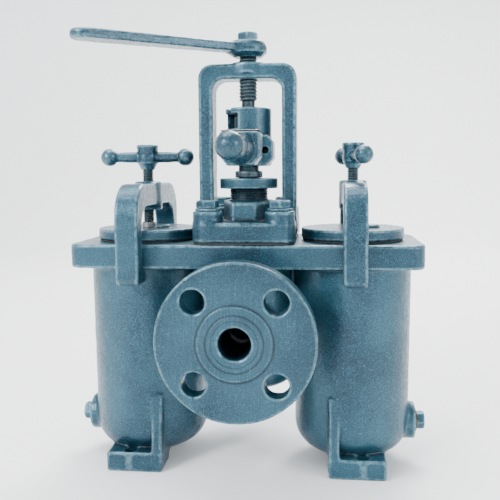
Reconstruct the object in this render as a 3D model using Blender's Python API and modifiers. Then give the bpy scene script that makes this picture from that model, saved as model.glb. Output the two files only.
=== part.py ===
"""Duplex basket oil strainer: two basket vessels, a lift-and-turn changeover cock and two screw-down covers.

Metres. In the strainer's own frame X runs along the top plate, Y points back to the outlet flange and Z up,
with zero on the cock's axis at the top of the plate. The empty "strainer_frame" stands that frame on the
floor, with the world's origin under the middle of the whole object.
"""

import math

import bmesh
import bpy
from mathutils import Matrix, Vector

# Clearances
GAP = 0.0003  # between pieces that touch
SCREW_CLEARANCE = 0.0003  # round a thread in its hole, which is modelled plain
LOOSE = 0.0005  # round a bolt in its clearance hole

# Sides of round shapes
SIDES_LARGE = 36
SIDES_INSIDE = 24
SIDES_MEDIUM = 24
SIDES_SMALL = 16
SIDES_TINY = 12
SIDES_RIVET = 8

# Stem head, whose turning ear sets the yoke's window
HEAD_RADIUS = 0.020
HEAD_HEIGHT = 0.0494
HEAD_BORE_DEPTH = 0.0255
EAR_REACH = HEAD_RADIUS + 0.0025
EAR_FRONT = 0.017
EAR_BACK = 0.010
EAR_HEIGHT = 0.0255
EAR_CHAMFER = 0.005
EAR_HOLE_RADIUS = 0.003
EAR_HOLE_FLOOR = 0.004  # left behind the blind hole
EAR_YOKE_CLEARANCE = 0.0013

# Yoke
YOKE_LEG = 0.0125
YOKE_WIDTH = 2 * (math.hypot(EAR_REACH, EAR_FRONT) + EAR_YOKE_CLEARANCE + YOKE_LEG)
YOKE_DEPTH = 0.026
YOKE_HEADROOM = 0.0243  # from the stem head up to the crossbar
YOKE_BAR = 0.013
YOKE_BOSS_RADIUS = 0.015
YOKE_BOSS_RISE = 0.001
YOKE_CORNER = 0.011
YOKE_INNER_CORNER = 0.010

# Vessels, from the mouth outwards
MOUTH_RADIUS = 0.0385
MOUTH_RIM = 0.0125
VESSEL_RADIUS = MOUTH_RADIUS + MOUTH_RIM
VESSEL_DRAFT = 0.001
VESSEL_BASE_RADIUS = VESSEL_RADIUS - VESSEL_DRAFT
VESSEL_WALL = 0.006
VESSEL_DEPTH = 0.186
VESSEL_CORNER = 0.024
SEAT_DEPTH = MOUTH_RADIUS + 0.0115  # down to the basket's ledge, which leaves room for the bail
SEAT_RADIUS = MOUTH_RADIUS - 0.0055
SEAT_THICKNESS = 0.006

# Covers and their gaskets
COVER_OVERLAP = 0.006
COVER_RADIUS = MOUTH_RADIUS + COVER_OVERLAP
COVER_THICKNESS = 0.009
COVER_EDGE = 0.001
COVER_SPIGOT_CLEARANCE = 0.0015
COVER_SPIGOT_DEPTH = 0.004
GASKET_THICKNESS = 0.0012
GASKET_INSET = 0.001
VENT_BOSS_SIZE = (0.012, 0.009)
VENT_BOSS_HEIGHT = 0.003
VENT_CLAMP_GAP = 0.001
VENT_BOSS_Y = -0.0125

# Bonnet
BONNET_WIDTH = YOKE_WIDTH
BONNET_CORNER = 0.013
BONNET_THICKNESS = 0.0165
LUG_RISE = 0.009
COVER_BONNET_GAP = 0.0045
BOLT_INSET_X = 0.012
BOLT_INSET_Y = 0.0128

# Top plate, round the covers and the vessels
VESSEL_PITCH = 2 * (BONNET_WIDTH / 2 + COVER_BONNET_GAP + COVER_RADIUS)
PLATE_MARGIN = 0.0125
PLATE_WIDTH = VESSEL_PITCH + 2 * (COVER_RADIUS + PLATE_MARGIN)
PLATE_OVERHANG = 0.005
PLATE_DEPTH = 2 * (VESSEL_RADIUS + PLATE_OVERHANG)
PLATE_THICKNESS = 0.020
PLATE_CORNER = 0.014
BONNET_DEPTH = PLATE_DEPTH - 0.001
BONNET_BOLT_X = BONNET_WIDTH / 2 - BOLT_INSET_X
BONNET_BOLT_Y = BONNET_DEPTH / 2 - BOLT_INSET_Y

# Baskets
BASKET_CLEARANCE = 0.0013  # round the rim in the mouth
BASKET_SEAT_CLEARANCE = 0.0015  # round the shell in the ledge
BASKET_FLOOR_CLEARANCE = 0.015
BASKET_RIM_RADIUS = MOUTH_RADIUS - BASKET_CLEARANCE
BASKET_RIM_HEIGHT = 0.0042
BASKET_RADIUS = SEAT_RADIUS - BASKET_SEAT_CLEARANCE
BASKET_WALL = 0.0012
BASKET_LENGTH = VESSEL_DEPTH - VESSEL_WALL - SEAT_DEPTH - BASKET_FLOOR_CLEARANCE
BASKET_WINDOWS = 6
BASKET_WINDOW_WIDTH = 0.020
BASKET_WINDOW_BAR = 0.006
BAIL_WIRE_RADIUS = 0.0015

# Cock plug, its housing and its stem
PLUG_TOP_RADIUS = 0.030
PLUG_BASE_RADIUS = 0.026
PLUG_TOP_DROP = 0.008
PLUG_LENGTH = 0.110
PLUG_WEB = 0.007
UPPER_PORT_DROP = 0.039
LOWER_PORT_DROP = 0.098
CROSS_PORT_RADIUS = 0.011
PLUG_WINDOW_HEIGHT = 0.028
PLUG_PORT_DEPTH = 0.8  # how far into the plug's radius the slanted flange ways run
PLUG_SEAT_RELIEF = 0.003  # below the plug
HOUSING_WALL = 0.010
HOUSING_RADIUS = PLUG_TOP_RADIUS + HOUSING_WALL
HOUSING_DEPTH = PLUG_TOP_DROP + PLUG_LENGTH + HOUSING_WALL
HOUSING_CORNER = 0.012
STEM_RADIUS = 0.009

# Flanges, 10K 25A
PORT_RADIUS = 0.0125
NECK_WALL = 0.010
NECK_RADIUS = PORT_RADIUS + NECK_WALL
FLANGE_PCD = 0.090
FLANGE_HOLE_RADIUS = 0.0095
FLANGE_HOLES = 4
FLANGE_RIM = 0.008  # outside the bolt holes
FLANGE_RADIUS = FLANGE_PCD / 2 + FLANGE_HOLE_RADIUS + FLANGE_RIM
FLANGE_THICKNESS = 0.018
FLANGE_FACE_RADIUS = NECK_RADIUS + 0.007
FLANGE_FACE_HEIGHT = 0.001
FACE_TO_FACE = 0.220
FLANGE_DROP = 0.0693  # from the plate's top to the flanges' axis

# Feet
FLOOR_CLEARANCE = 0.010  # under the vessels
BODY_HEIGHT = VESSEL_DEPTH + FLOOR_CLEARANCE
FOOT_THICKNESS = 0.017
FOOT_WIDTH = 0.048
FOOT_OVERHANG = 0.005
FOOT_REACH = VESSEL_RADIUS + FOOT_OVERHANG  # from the cock's axis to the foot's outer edge
FOOT_OFFSET = 0.004  # from the vessel's axis out to the middle of the foot
FOOT_HOLE_RADIUS = 0.0055
FOOT_HOLE_INSET = 0.008
RIB_THICKNESS = 0.009
RIB_HEIGHT = 0.066

# Drains
DRAIN_RISE = 0.024  # above the vessel's base
DRAIN_DROP = VESSEL_DEPTH - DRAIN_RISE
DRAIN_SHANK_RADIUS = 0.006
DRAIN_SHANK_LENGTH = 0.010
DRAIN_BOSS_RADIUS = DRAIN_SHANK_RADIUS + 0.010
DRAIN_REACH = VESSEL_RADIUS + 0.005  # from the vessel's axis to the boss's face
DRAIN_HEX = 2 * DRAIN_SHANK_RADIUS + 0.002
DRAIN_HEAD = 0.007
DRAIN_WASHER_RADIUS = DRAIN_SHANK_RADIUS + 0.004
DRAIN_WASHER_THICKNESS = 0.0012

# Stuffing box and gland
PACKING_WIDTH = 0.0077
STUFFING_BORE = STEM_RADIUS + GAP + PACKING_WIDTH + GAP
STUFFING_RADIUS = STUFFING_BORE + 0.0047
STUFFING_TOP = 0.0345
STUFFING_FLOOR = 0.0055
PACKING_HEIGHT = 0.0145
GLAND_LUG_REACH = 0.042
GLAND_LUG_WIDTH = 0.022
GLAND_LUG_ROOT_WIDTH = 2 * (STUFFING_RADIUS - 0.0015)
GLAND_LUG_ROOT_Y = 0.010
GLAND_LUG_CORNER = 0.004
GLAND_RADIUS = STUFFING_RADIUS + 0.0035
GLAND_STANDOFF = 0.0105
GLAND_DISC = 0.009
GLAND_EDGE = 0.0008
GLAND_TOP = STUFFING_TOP + GLAND_STANDOFF + GLAND_DISC

# Bonnet bolts
BOLT_RADIUS = 0.005
BOLT_HEX = 2 * BOLT_RADIUS + 0.007
BOLT_HEAD = 0.0064
BOLT_ENGAGEMENT = 0.014
WASHER_RADIUS = BOLT_RADIUS + 0.0055
WASHER_THICKNESS = 0.002

# Heights above the gland
COLLAR_RADIUS = STEM_RADIUS + 0.0032
COLLAR_HEIGHT = 0.006
COLLAR_HEAD_GAP = 0.0045
HEAD_BASE = GLAND_TOP + GAP + COLLAR_HEIGHT + COLLAR_HEAD_GAP
HEAD_TOP = HEAD_BASE + HEAD_HEIGHT
HEAD_BORE_TOP = HEAD_BASE + HEAD_BORE_DEPTH
YOKE_TOP = HEAD_TOP + YOKE_HEADROOM + YOKE_BAR

# Changeover handle
HANDLE_RISE = 0.013  # of the handle's axis above the stem head's base
HANDLE_AXIS = HEAD_BASE + HANDLE_RISE
HANDLE_NECK_RADIUS = 0.010
HANDLE_SPIGOT_RADIUS = 0.0065
HANDLE_NECK_LENGTH = 0.021
HANDLE_BLOCK_BACK = HEAD_RADIUS + HANDLE_NECK_LENGTH
HANDLE_BLOCK_DEPTH = 0.025
HANDLE_BLOCK_FRONT = HANDLE_BLOCK_BACK + HANDLE_BLOCK_DEPTH
HANDLE_BLOCK_WIDTH = 0.032
HANDLE_BLOCK_HEIGHT = 0.0265
HANDLE_BLOCK_EDGE = 0.002
GRIP_LENGTH = 0.0675
GRIP_REACH = HANDLE_BLOCK_FRONT + GRIP_LENGTH
GRIP_ROOT_RADIUS = 0.0112
GRIP_THIN_RADIUS = 0.0083
GRIP_END_RADIUS = 0.0107
NAMEPLATE_MARGIN_X = 0.0007
NAMEPLATE_MARGIN_Y = 0.00215
NAMEPLATE_THICKNESS = 0.0010
RIVET_INSET = 0.0028
RIVET_RADIUS = 0.0010
RIVET_HEAD_RADIUS = 0.0018
RIVET_HEAD_HEIGHT = 0.0008
RIVET_LENGTH = 0.003

# Jack screw, its head in the stem head's slot and its thread in the yoke
SLOT_LIP = 0.0047  # over the slot
SLOT_HEIGHT = 0.013
SLOT_HALF_WIDTH = 0.0128
SLOT_DIRECTION = math.radians(207)
SLOT_ROOF = HEAD_TOP - SLOT_LIP
SLOT_FLOOR = SLOT_ROOF - SLOT_HEIGHT
THRUST_WASHER_THICKNESS = 0.0020
JACK_HEAD_HEIGHT = SLOT_HEIGHT - THRUST_WASHER_THICKNESS - 3 * GAP
JACK_NECK_RADIUS = 0.0058
JACK_NECK_RISE = 0.0068  # above the stem head
JACK_NECK_TOP = HEAD_TOP + JACK_NECK_RISE
JACK_RADIUS = 0.008
JACK_SPIGOT_RADIUS = JACK_RADIUS - 0.0015

# Jack lever
LEVER_CLEARANCE = 0.0051  # over the yoke's boss
LEVER_HUB_BASE = YOKE_TOP + YOKE_BOSS_RISE + LEVER_CLEARANCE
LEVER_HUB_HEIGHT = 0.0138
LEVER_HUB_RADIUS = 0.0166
LEVER_LENGTH = 0.143  # from the axis to the centre of the round tip
LEVER_ROOT_WIDTH = 0.0165
LEVER_TIP_WIDTH = 0.0225
LEVER_THICKNESS = 0.0075
LEVER_REST = math.radians(215)
LEVER_BOLT_HEX = 0.0165
LEVER_BOLT_HEAD = 0.0074
LEVER_BOLT_RADIUS = 0.004
LEVER_BOLT_LENGTH = 0.018

# Cover clamps
COVER_BASE = GAP + GASKET_THICKNESS + GAP
COVER_TOP = COVER_BASE + COVER_THICKNESS
CLAMP_WIDTH = 0.019
CLAMP_LEG = 0.0152
CLAMP_PLATE_CLEARANCE = 0.0048
CLAMP_HALF_LENGTH = PLATE_DEPTH / 2 + CLAMP_PLATE_CLEARANCE + CLAMP_LEG
CLAMP_RISE = 0.0392  # from the cover's top to the clamp's
CLAMP_TOP = COVER_TOP + CLAMP_RISE
CLAMP_BRIDGE = 0.019
CLAMP_SHOULDER = 0.028
HOOK_THICKNESS = 0.0115
HOOK_VESSEL_CLEARANCE = 0.0013
HOOK_CORNER = 0.006
HOOK_EDGE = 0.002
HOOK_INNER_EDGE = 0.0015
CLAMP_SCREW_RADIUS = 0.005
CLAMP_BOSS_RADIUS = CLAMP_SCREW_RADIUS + 0.007
CLAMP_BOSS_DROP = 0.0045
CLAMP_BOSS_RISE = 0.0015
TIP_RADIUS = CLAMP_SCREW_RADIUS + 0.0012
TIP_HEIGHT = 0.0040
TEE_STANDOFF = 0.012
TEE_HEIGHT = 0.0220
TEE_RADIUS = CLAMP_SCREW_RADIUS + 0.0047
TEE_BASE_RADIUS = CLAMP_SCREW_RADIUS + 0.0012
TEE_SOCKET = 0.006
ARM_HALF_LENGTH = 0.034  # to the centre of the ball
ARM_RADIUS = 0.0032
BALL_RADIUS = 0.0075
TEE_REST = {"left": math.radians(8), "right": math.radians(103)}

# Derived places
FLOOR = -BODY_HEIGHT
STEM_Y = (GRIP_REACH - FACE_TO_FACE / 2) / 2  # so that the whole object is centred over the origin
VESSEL_X = VESSEL_PITCH / 2
SIDES = {"left": -1, "right": 1}
SPIGOT_RADIUS = MOUTH_RADIUS - COVER_SPIGOT_CLEARANCE
GASKET_RADIUS = COVER_RADIUS - GASKET_INSET
VENT_BOSS_X = CLAMP_WIDTH / 2 + VENT_CLAMP_GAP + VENT_BOSS_SIZE[0] / 2
BONNET_BASE = COVER_BASE
BONNET_TOP = BONNET_BASE + BONNET_THICKNESS
LUG_TOP = BONNET_TOP + LUG_RISE
BOLT_PLACES = [(x, y) for y in (-BONNET_BOLT_Y, BONNET_BOLT_Y) for x in (-BONNET_BOLT_X, BONNET_BOLT_X)]
STEM_BORE = STEM_RADIUS + GAP
BLOCK_TOP = HANDLE_AXIS + HANDLE_BLOCK_HEIGHT / 2
NAMEPLATE_WIDTH = HANDLE_BLOCK_WIDTH - 2 * NAMEPLATE_MARGIN_X
NAMEPLATE_DEPTH = HANDLE_BLOCK_DEPTH - 2 * NAMEPLATE_MARGIN_Y
NAMEPLATE_Y = -(HANDLE_BLOCK_BACK + HANDLE_BLOCK_FRONT) / 2
JACK_HEAD_TOP = SLOT_FLOOR + GAP + JACK_HEAD_HEIGHT
LEVER_HUB_TOP = LEVER_HUB_BASE + LEVER_HUB_HEIGHT
HOOK_TOP = -PLATE_THICKNESS - GAP
CLAMP_UNDERSIDE = CLAMP_TOP - CLAMP_BRIDGE
TIP_BASE = COVER_TOP + GAP
TEE_BASE = CLAMP_TOP + TEE_STANDOFF
TEE_TOP = TEE_BASE + TEE_HEIGHT
ARM_AXIS = TEE_TOP - TEE_HEIGHT / 2

# Finishes: colour, metallic, roughness
FINISHES = {
    "enamel": ((0.13, 0.28, 0.36), 0.35, 0.38),
    "worn_enamel": ((0.05, 0.12, 0.16), 0.5, 0.5),
    "steel": ((0.42, 0.45, 0.46), 1.0, 0.35),
    "bronze": ((0.55, 0.36, 0.16), 1.0, 0.35),
    "black_gasket": ((0.03, 0.03, 0.03), 0.0, 0.8),
    "packing": ((0.25, 0.23, 0.18), 0.0, 0.9),
    "nameplate": ((0.02, 0.02, 0.02), 0.6, 0.35),
    "copper": ((0.72, 0.36, 0.22), 1.0, 0.3),
}


# Scene


def clear_scene():
    for obj in list(bpy.data.objects):
        bpy.data.objects.remove(obj, do_unlink=True)


def add_collection(name):
    collection = bpy.data.collections.new(name)
    bpy.context.scene.collection.children.link(collection)
    return collection


def add_material(name, finish):
    colour, metallic, roughness = FINISHES[finish]
    made = bpy.data.materials.new(name)
    made.use_nodes = True
    shader = made.node_tree.nodes["Principled BSDF"]
    shader.inputs["Base Color"].default_value = (*colour, 1.0)
    shader.inputs["Metallic"].default_value = metallic
    shader.inputs["Roughness"].default_value = roughness
    made.diffuse_color = (*colour, 1.0)
    return made


clear_scene()
PARTS = add_collection("duplex_basket_strainer")
TOOLS = add_collection("cutters")
FRAME = bpy.data.objects.new("strainer_frame", None)
PARTS.objects.link(FRAME)


# Shapes, each a closed mesh in the strainer's frame


def mesh_of(shape):
    """The bmesh as a mesh, with its faces pointing out."""
    bmesh.ops.remove_doubles(shape, verts=shape.verts, dist=1e-6)
    bmesh.ops.recalc_face_normals(shape, faces=shape.faces)
    mesh = bpy.data.meshes.new("shape")
    shape.to_mesh(mesh)
    shape.free()
    return mesh


def frozen(obj):
    """The evaluated mesh of a helper object, which is removed."""
    bpy.context.view_layer.update()
    graph = bpy.context.evaluated_depsgraph_get()
    mesh = bpy.data.meshes.new_from_object(obj.evaluated_get(graph))
    bpy.data.objects.remove(obj, do_unlink=True)
    shape = bmesh.new()
    shape.from_mesh(mesh)
    bpy.data.meshes.remove(mesh)
    return mesh_of(shape)


def block(low, high):
    shape = bmesh.new()
    bmesh.ops.create_cube(shape, size=1.0)
    bmesh.ops.scale(shape, vec=Vector(high) - Vector(low), verts=shape.verts)
    bmesh.ops.translate(shape, vec=(Vector(low) + Vector(high)) / 2, verts=shape.verts)
    return mesh_of(shape)


def rod(radius, start, end, sides=SIDES_MEDIUM, end_radius=None):
    """A cylinder or, with an end radius, a cone, from start to end."""
    start, end = Vector(start), Vector(end)
    shape = bmesh.new()
    bmesh.ops.create_cone(
        shape,
        cap_ends=True,
        segments=sides,
        radius1=radius,
        radius2=radius if end_radius is None else end_radius,
        depth=(end - start).length,
    )
    turn = Vector((0, 0, 1)).rotation_difference(end - start).to_matrix().to_4x4()
    bmesh.ops.transform(shape, matrix=Matrix.Translation((start + end) / 2) @ turn, verts=shape.verts)
    return mesh_of(shape)


def hexagon(across_flats, start, end):
    return rod(across_flats / 2 / math.cos(math.pi / 6), start, end, sides=6)


def turned(profile, sides=SIDES_LARGE, matrix=None):
    """A solid of revolution about Z. A profile that leaves the axis at both ends closes into a ring."""
    mesh = bpy.data.meshes.new("profile")
    ring = profile[0][0] > 0 and profile[-1][0] > 0
    count = len(profile)
    edges = [(i, (i + 1) % count) for i in range(count if ring else count - 1)]
    mesh.from_pydata([(r, 0, z) for r, z in profile], edges, [])
    helper = bpy.data.objects.new("profile", mesh)
    TOOLS.objects.link(helper)
    screw = helper.modifiers.new("Screw", "SCREW")
    screw.steps = screw.render_steps = sides
    screw.use_merge_vertices = True
    screw.merge_threshold = 1e-5
    made = frozen(helper)
    if matrix:
        made.transform(matrix)
    return made


def washer(inner, outer, base, top, sides=SIDES_MEDIUM, matrix=None):
    return turned([(outer, top), (outer, base), (inner, base), (inner, top)], sides, matrix)


def arc(centre, radius, first, last, steps):
    """Points from one angle to another, in degrees."""
    angles = [math.radians(first + (last - first) * i / steps) for i in range(steps + 1)]
    return [(centre[0] + radius * math.cos(a), centre[1] + radius * math.sin(a)) for a in angles]


def filleted(corners, steps=4):
    """An outline through corners (x, y, radius), each rounded to its radius."""
    points = []
    for i, (x, y, radius) in enumerate(corners):
        here = Vector((x, y))
        if radius <= 0:
            points.append((x, y))
            continue
        before = (Vector(corners[i - 1][:2]) - here).normalized()
        after = (Vector(corners[(i + 1) % len(corners)][:2]) - here).normalized()
        half = before.angle(after) / 2
        centre = here + (before + after).normalized() * radius / math.sin(half)
        first = here + before * radius / math.tan(half) - centre
        last = here + after * radius / math.tan(half) - centre
        start = math.atan2(first.y, first.x)
        sweep = math.remainder(math.atan2(last.y, last.x) - start, 2 * math.pi)
        points += arc(centre, radius, math.degrees(start), math.degrees(start + sweep), steps)
    return points


def rectangle(width, depth, radius, steps=4):
    x, y = width / 2, depth / 2
    return filleted([(-x, -y, radius), (x, -y, radius), (x, y, radius), (-x, y, radius)], steps)


# An outline's two directions and its thickness, as columns of world axes
ALONG_X = Matrix(((0, 0, 1, 0), (1, 0, 0, 0), (0, 1, 0, 0), (0, 0, 0, 1)))
ALONG_Y = Matrix(((1, 0, 0, 0), (0, 0, -1, 0), (0, 1, 0, 0), (0, 0, 0, 1)))
# A turned shape's axis laid down, its top pointing along -Y or +X
TOWARDS_FRONT = Matrix.Rotation(math.radians(90), 4, "X")
TOWARDS_RIGHT = Matrix.Rotation(math.radians(90), 4, "Y")


def extruded(outline, low, high, matrix=None):
    """A flat outline in X and Y given thickness in Z from low to high, then turned by the matrix."""
    curve = bpy.data.curves.new("outline", "CURVE")
    curve.dimensions = "2D"
    curve.fill_mode = "BOTH"
    curve.extrude = (high - low) / 2
    spline = curve.splines.new("POLY")
    spline.points.add(len(outline) - 1)
    for point, (x, y) in zip(spline.points, outline):
        point.co = (x, y, 0, 1)
    spline.use_cyclic_u = True
    helper = bpy.data.objects.new("outline", curve)
    TOOLS.objects.link(helper)
    made = frozen(helper)
    made.transform(Matrix.Translation((0, 0, (low + high) / 2)))
    if matrix:
        made.transform(matrix)
    return made


# Objects


def add_part(name, mesh, finish, at=(0, 0, 0)):
    mesh.name = name
    part = bpy.data.objects.new(name, mesh)
    part.location = at
    part.parent = FRAME
    mesh.materials.append(add_material(name, finish))
    PARTS.objects.link(part)
    return part


def combine(part, meshes, operation):
    """Adds a Boolean with each mesh, given in the part's own frame."""
    group = bpy.data.collections.new(f"{part.name}_{operation.lower()}_{len(part.modifiers)}")
    TOOLS.children.link(group)
    for i, mesh in enumerate(meshes):
        tool = bpy.data.objects.new(f"{group.name}_{i}", mesh)
        tool.location = part.location
        tool.parent = FRAME
        tool.hide_render = True
        tool.display_type = "WIRE"
        group.objects.link(tool)
    boolean = part.modifiers.new(operation.title(), "BOOLEAN")
    boolean.operand_type = "COLLECTION"
    boolean.collection = group
    boolean.operation = operation
    boolean.solver = "EXACT"


def join(part, *meshes):
    combine(part, meshes, "UNION")


def cut(part, *meshes):
    combine(part, meshes, "DIFFERENCE")


# Body casting


def vessel_outside(x):
    centre = (VESSEL_BASE_RADIUS - VESSEL_CORNER, VESSEL_CORNER - VESSEL_DEPTH)
    base_arc = arc(centre, VESSEL_CORNER, 0, -90, 5)
    top = -PLATE_THICKNESS / 2
    profile = [(0, top), (VESSEL_RADIUS, top), *base_arc, (0, -VESSEL_DEPTH)]
    return turned(profile, matrix=Matrix.Translation((x, 0, 0)))


def vessel_inside(x):
    """The mouth and upper chamber, the ledge for the basket's rim and the lower chamber."""
    radius = VESSEL_BASE_RADIUS - VESSEL_WALL
    corner = VESSEL_CORNER - VESSEL_WALL
    base = VESSEL_WALL - VESSEL_DEPTH
    base_arc = arc((radius - corner, base + corner), corner, 0, -90, 3)
    profile = [
        (0, PLATE_THICKNESS),
        (MOUTH_RADIUS, PLATE_THICKNESS),
        (MOUTH_RADIUS, -SEAT_DEPTH),
        (SEAT_RADIUS, -SEAT_DEPTH),
        (SEAT_RADIUS, -SEAT_DEPTH - SEAT_THICKNESS),
        (radius, -SEAT_DEPTH - SEAT_THICKNESS),
        *base_arc,
        (0, base),
    ]
    return turned(profile, SIDES_MEDIUM, Matrix.Translation((x, 0, 0)))


def housing_outside():
    centre = (HOUSING_RADIUS - HOUSING_CORNER, HOUSING_CORNER - HOUSING_DEPTH)
    base_arc = arc(centre, HOUSING_CORNER, 0, -90, 3)
    top = -PLATE_THICKNESS / 2
    return turned([(0, top), (HOUSING_RADIUS, top), *base_arc, (0, -HOUSING_DEPTH)], SIDES_MEDIUM)


def plug_profile(clearance, above, below):
    """The plug's taper, grown by a clearance and extended above and below."""
    base = -PLUG_TOP_DROP - PLUG_LENGTH
    return [
        (0, -PLUG_TOP_DROP + above),
        (PLUG_TOP_RADIUS + clearance, -PLUG_TOP_DROP + above),
        (PLUG_TOP_RADIUS + clearance, -PLUG_TOP_DROP),
        (PLUG_BASE_RADIUS + clearance, base),
        (PLUG_BASE_RADIUS + clearance, base - below),
        (0, base - below),
    ]


def foot(side, end):
    """A foot's pad and rib, under the vessel on this side (-1 or 1) and at this end (-1 front, 1 back)."""
    near = VESSEL_X + FOOT_OFFSET - FOOT_WIDTH / 2
    far = near + FOOT_WIDTH
    inner_y = VESSEL_BASE_RADIUS - VESSEL_CORNER
    pad_top = FLOOR + FOOT_THICKNESS
    pad_low = (side * (near if side > 0 else far), end * (inner_y if end > 0 else FOOT_REACH), FLOOR)
    pad_high = (side * (far if side > 0 else near), end * (FOOT_REACH if end > 0 else inner_y), pad_top)
    rib_foot = pad_top - FOOT_THICKNESS / 2
    outline = [
        (end * inner_y, rib_foot),
        (end * FOOT_REACH, rib_foot),
        (end * FOOT_REACH, pad_top),
        (end * (VESSEL_BASE_RADIUS - RIB_THICKNESS / 4), FLOOR + RIB_HEIGHT),
        (end * inner_y, FLOOR + RIB_HEIGHT),
    ]
    ends = sorted((side * near, side * (near + RIB_THICKNESS)))
    return [block(pad_low, pad_high), extruded(outline, *ends, ALONG_X)]


def foot_hole(side, end):
    x = side * (VESSEL_X + FOOT_OFFSET + RIB_THICKNESS / 2)
    y = end * (FOOT_REACH - FOOT_HOLE_INSET)
    top = FLOOR + FOOT_THICKNESS + GAP
    return rod(FOOT_HOLE_RADIUS, (x, y, FLOOR - FOOT_THICKNESS), (x, y, top), SIDES_TINY)


def flange(end):
    """A neck from the cock housing, the flange and its raised face."""
    face = FACE_TO_FACE / 2
    back = face - FLANGE_THICKNESS

    def at(y):
        return (0, end * y, -FLANGE_DROP)

    return [
        rod(NECK_RADIUS, at(HOUSING_RADIUS / 2), at(back + FLANGE_THICKNESS / 2)),
        rod(FLANGE_RADIUS, at(back), at(face - FLANGE_FACE_HEIGHT), SIDES_LARGE),
        rod(FLANGE_FACE_RADIUS, at(back + FLANGE_THICKNESS / 2), at(face), SIDES_MEDIUM),
    ]


def flange_ways(end, level):
    """The port's straight bore, the slanted way on to the plug's upper or lower level, and the bolt holes."""
    outside = FACE_TO_FACE / 2 + FLANGE_THICKNESS
    bend = HOUSING_RADIUS + NECK_RADIUS
    mouth = (0, end * outside, -FLANGE_DROP)
    elbow = (0, end * bend, -FLANGE_DROP)
    straight_end = (0, end * (bend - PORT_RADIUS / 2), -FLANGE_DROP)
    ways = [
        rod(PORT_RADIUS, mouth, straight_end, SIDES_SMALL),
        rod(CROSS_PORT_RADIUS, elbow, (0, end * PLUG_BASE_RADIUS * PLUG_PORT_DEPTH, -level), SIDES_TINY),
    ]
    for i in range(FLANGE_HOLES):
        angle = math.radians(45 + 360 / FLANGE_HOLES * i)
        x = FLANGE_PCD / 2 * math.cos(angle)
        z = FLANGE_PCD / 2 * math.sin(angle) - FLANGE_DROP
        behind = FACE_TO_FACE / 2 - 1.5 * FLANGE_THICKNESS
        ways.append(rod(FLANGE_HOLE_RADIUS, (x, end * behind, z), (x, end * outside, z), SIDES_TINY))
    return ways


def add_body():
    body = add_part(
        "strainer_body",
        extruded(rectangle(PLATE_WIDTH, PLATE_DEPTH, PLATE_CORNER, 6), -PLATE_THICKNESS, 0),
        "enamel",
    )
    solids = [housing_outside(), *flange(-1), *flange(1)]
    reach = VESSEL_X + DRAIN_REACH
    for side in SIDES.values():
        solids.append(vessel_outside(side * VESSEL_X))
        wall_x = side * (VESSEL_X + VESSEL_RADIUS - VESSEL_WALL)
        solids.append(rod(DRAIN_BOSS_RADIUS, (wall_x, 0, -DRAIN_DROP), (side * reach, 0, -DRAIN_DROP)))
        solids += foot(side, -1) + foot(side, 1)
    join(body, *solids)
    cuts = [
        turned(plug_profile(GAP, 2 * PLATE_THICKNESS, PLUG_SEAT_RELIEF), SIDES_INSIDE),
        *flange_ways(-1, UPPER_PORT_DROP),
        *flange_ways(1, LOWER_PORT_DROP),
    ]
    for x, y in BOLT_PLACES:
        hole = BOLT_RADIUS + SCREW_CLEARANCE
        cuts.append(rod(hole, (x, y, -BOLT_ENGAGEMENT - 3 * GAP), (x, y, PLATE_THICKNESS), SIDES_TINY))
    for drop, inner in ((UPPER_PORT_DROP, MOUTH_RADIUS), (LOWER_PORT_DROP, VESSEL_BASE_RADIUS - VESSEL_WALL)):
        end = VESSEL_X - inner * math.cos(math.asin(CROSS_PORT_RADIUS / inner)) + VESSEL_WALL / 2
        cuts.append(rod(CROSS_PORT_RADIUS, (-end, 0, -drop), (end, 0, -drop), SIDES_TINY))
    for side in SIDES.values():
        cuts.append(vessel_inside(side * VESSEL_X))
        inner_x = side * (VESSEL_X + VESSEL_BASE_RADIUS - 2 * VESSEL_WALL)
        far_x = side * (reach + DRAIN_HEAD)
        hole = DRAIN_SHANK_RADIUS + SCREW_CLEARANCE
        cuts.append(rod(hole, (inner_x, 0, -DRAIN_DROP), (far_x, 0, -DRAIN_DROP), SIDES_TINY))
        cuts += [foot_hole(side, -1), foot_hole(side, 1)]
    cut(body, *cuts)


def add_drain(name, side):
    face = DRAIN_REACH + GAP
    head = face + DRAIN_WASHER_THICKNESS + GAP
    cap = side * (head + DRAIN_HEAD)
    at = (side * VESSEL_X, 0, -DRAIN_DROP)
    outside = face + DRAIN_WASHER_THICKNESS
    ring = washer(DRAIN_SHANK_RADIUS + GAP, DRAIN_WASHER_RADIUS, face, outside, SIDES_SMALL, TOWARDS_RIGHT)
    ring.transform(Matrix.Scale(side, 4, (1, 0, 0)))
    if side < 0:
        ring.flip_normals()
    add_part(f"drain_washer_{name}", ring, "bronze", at)
    plug = add_part(f"drain_plug_{name}", hexagon(DRAIN_HEX, (side * head, 0, 0), (cap, 0, 0)), "enamel", at)
    inner = side * (head - GAP - DRAIN_SHANK_LENGTH)
    join(plug, rod(DRAIN_SHANK_RADIUS, (inner, 0, 0), (side * (head + DRAIN_HEAD / 2), 0, 0), SIDES_TINY))


# Covers and baskets


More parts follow.
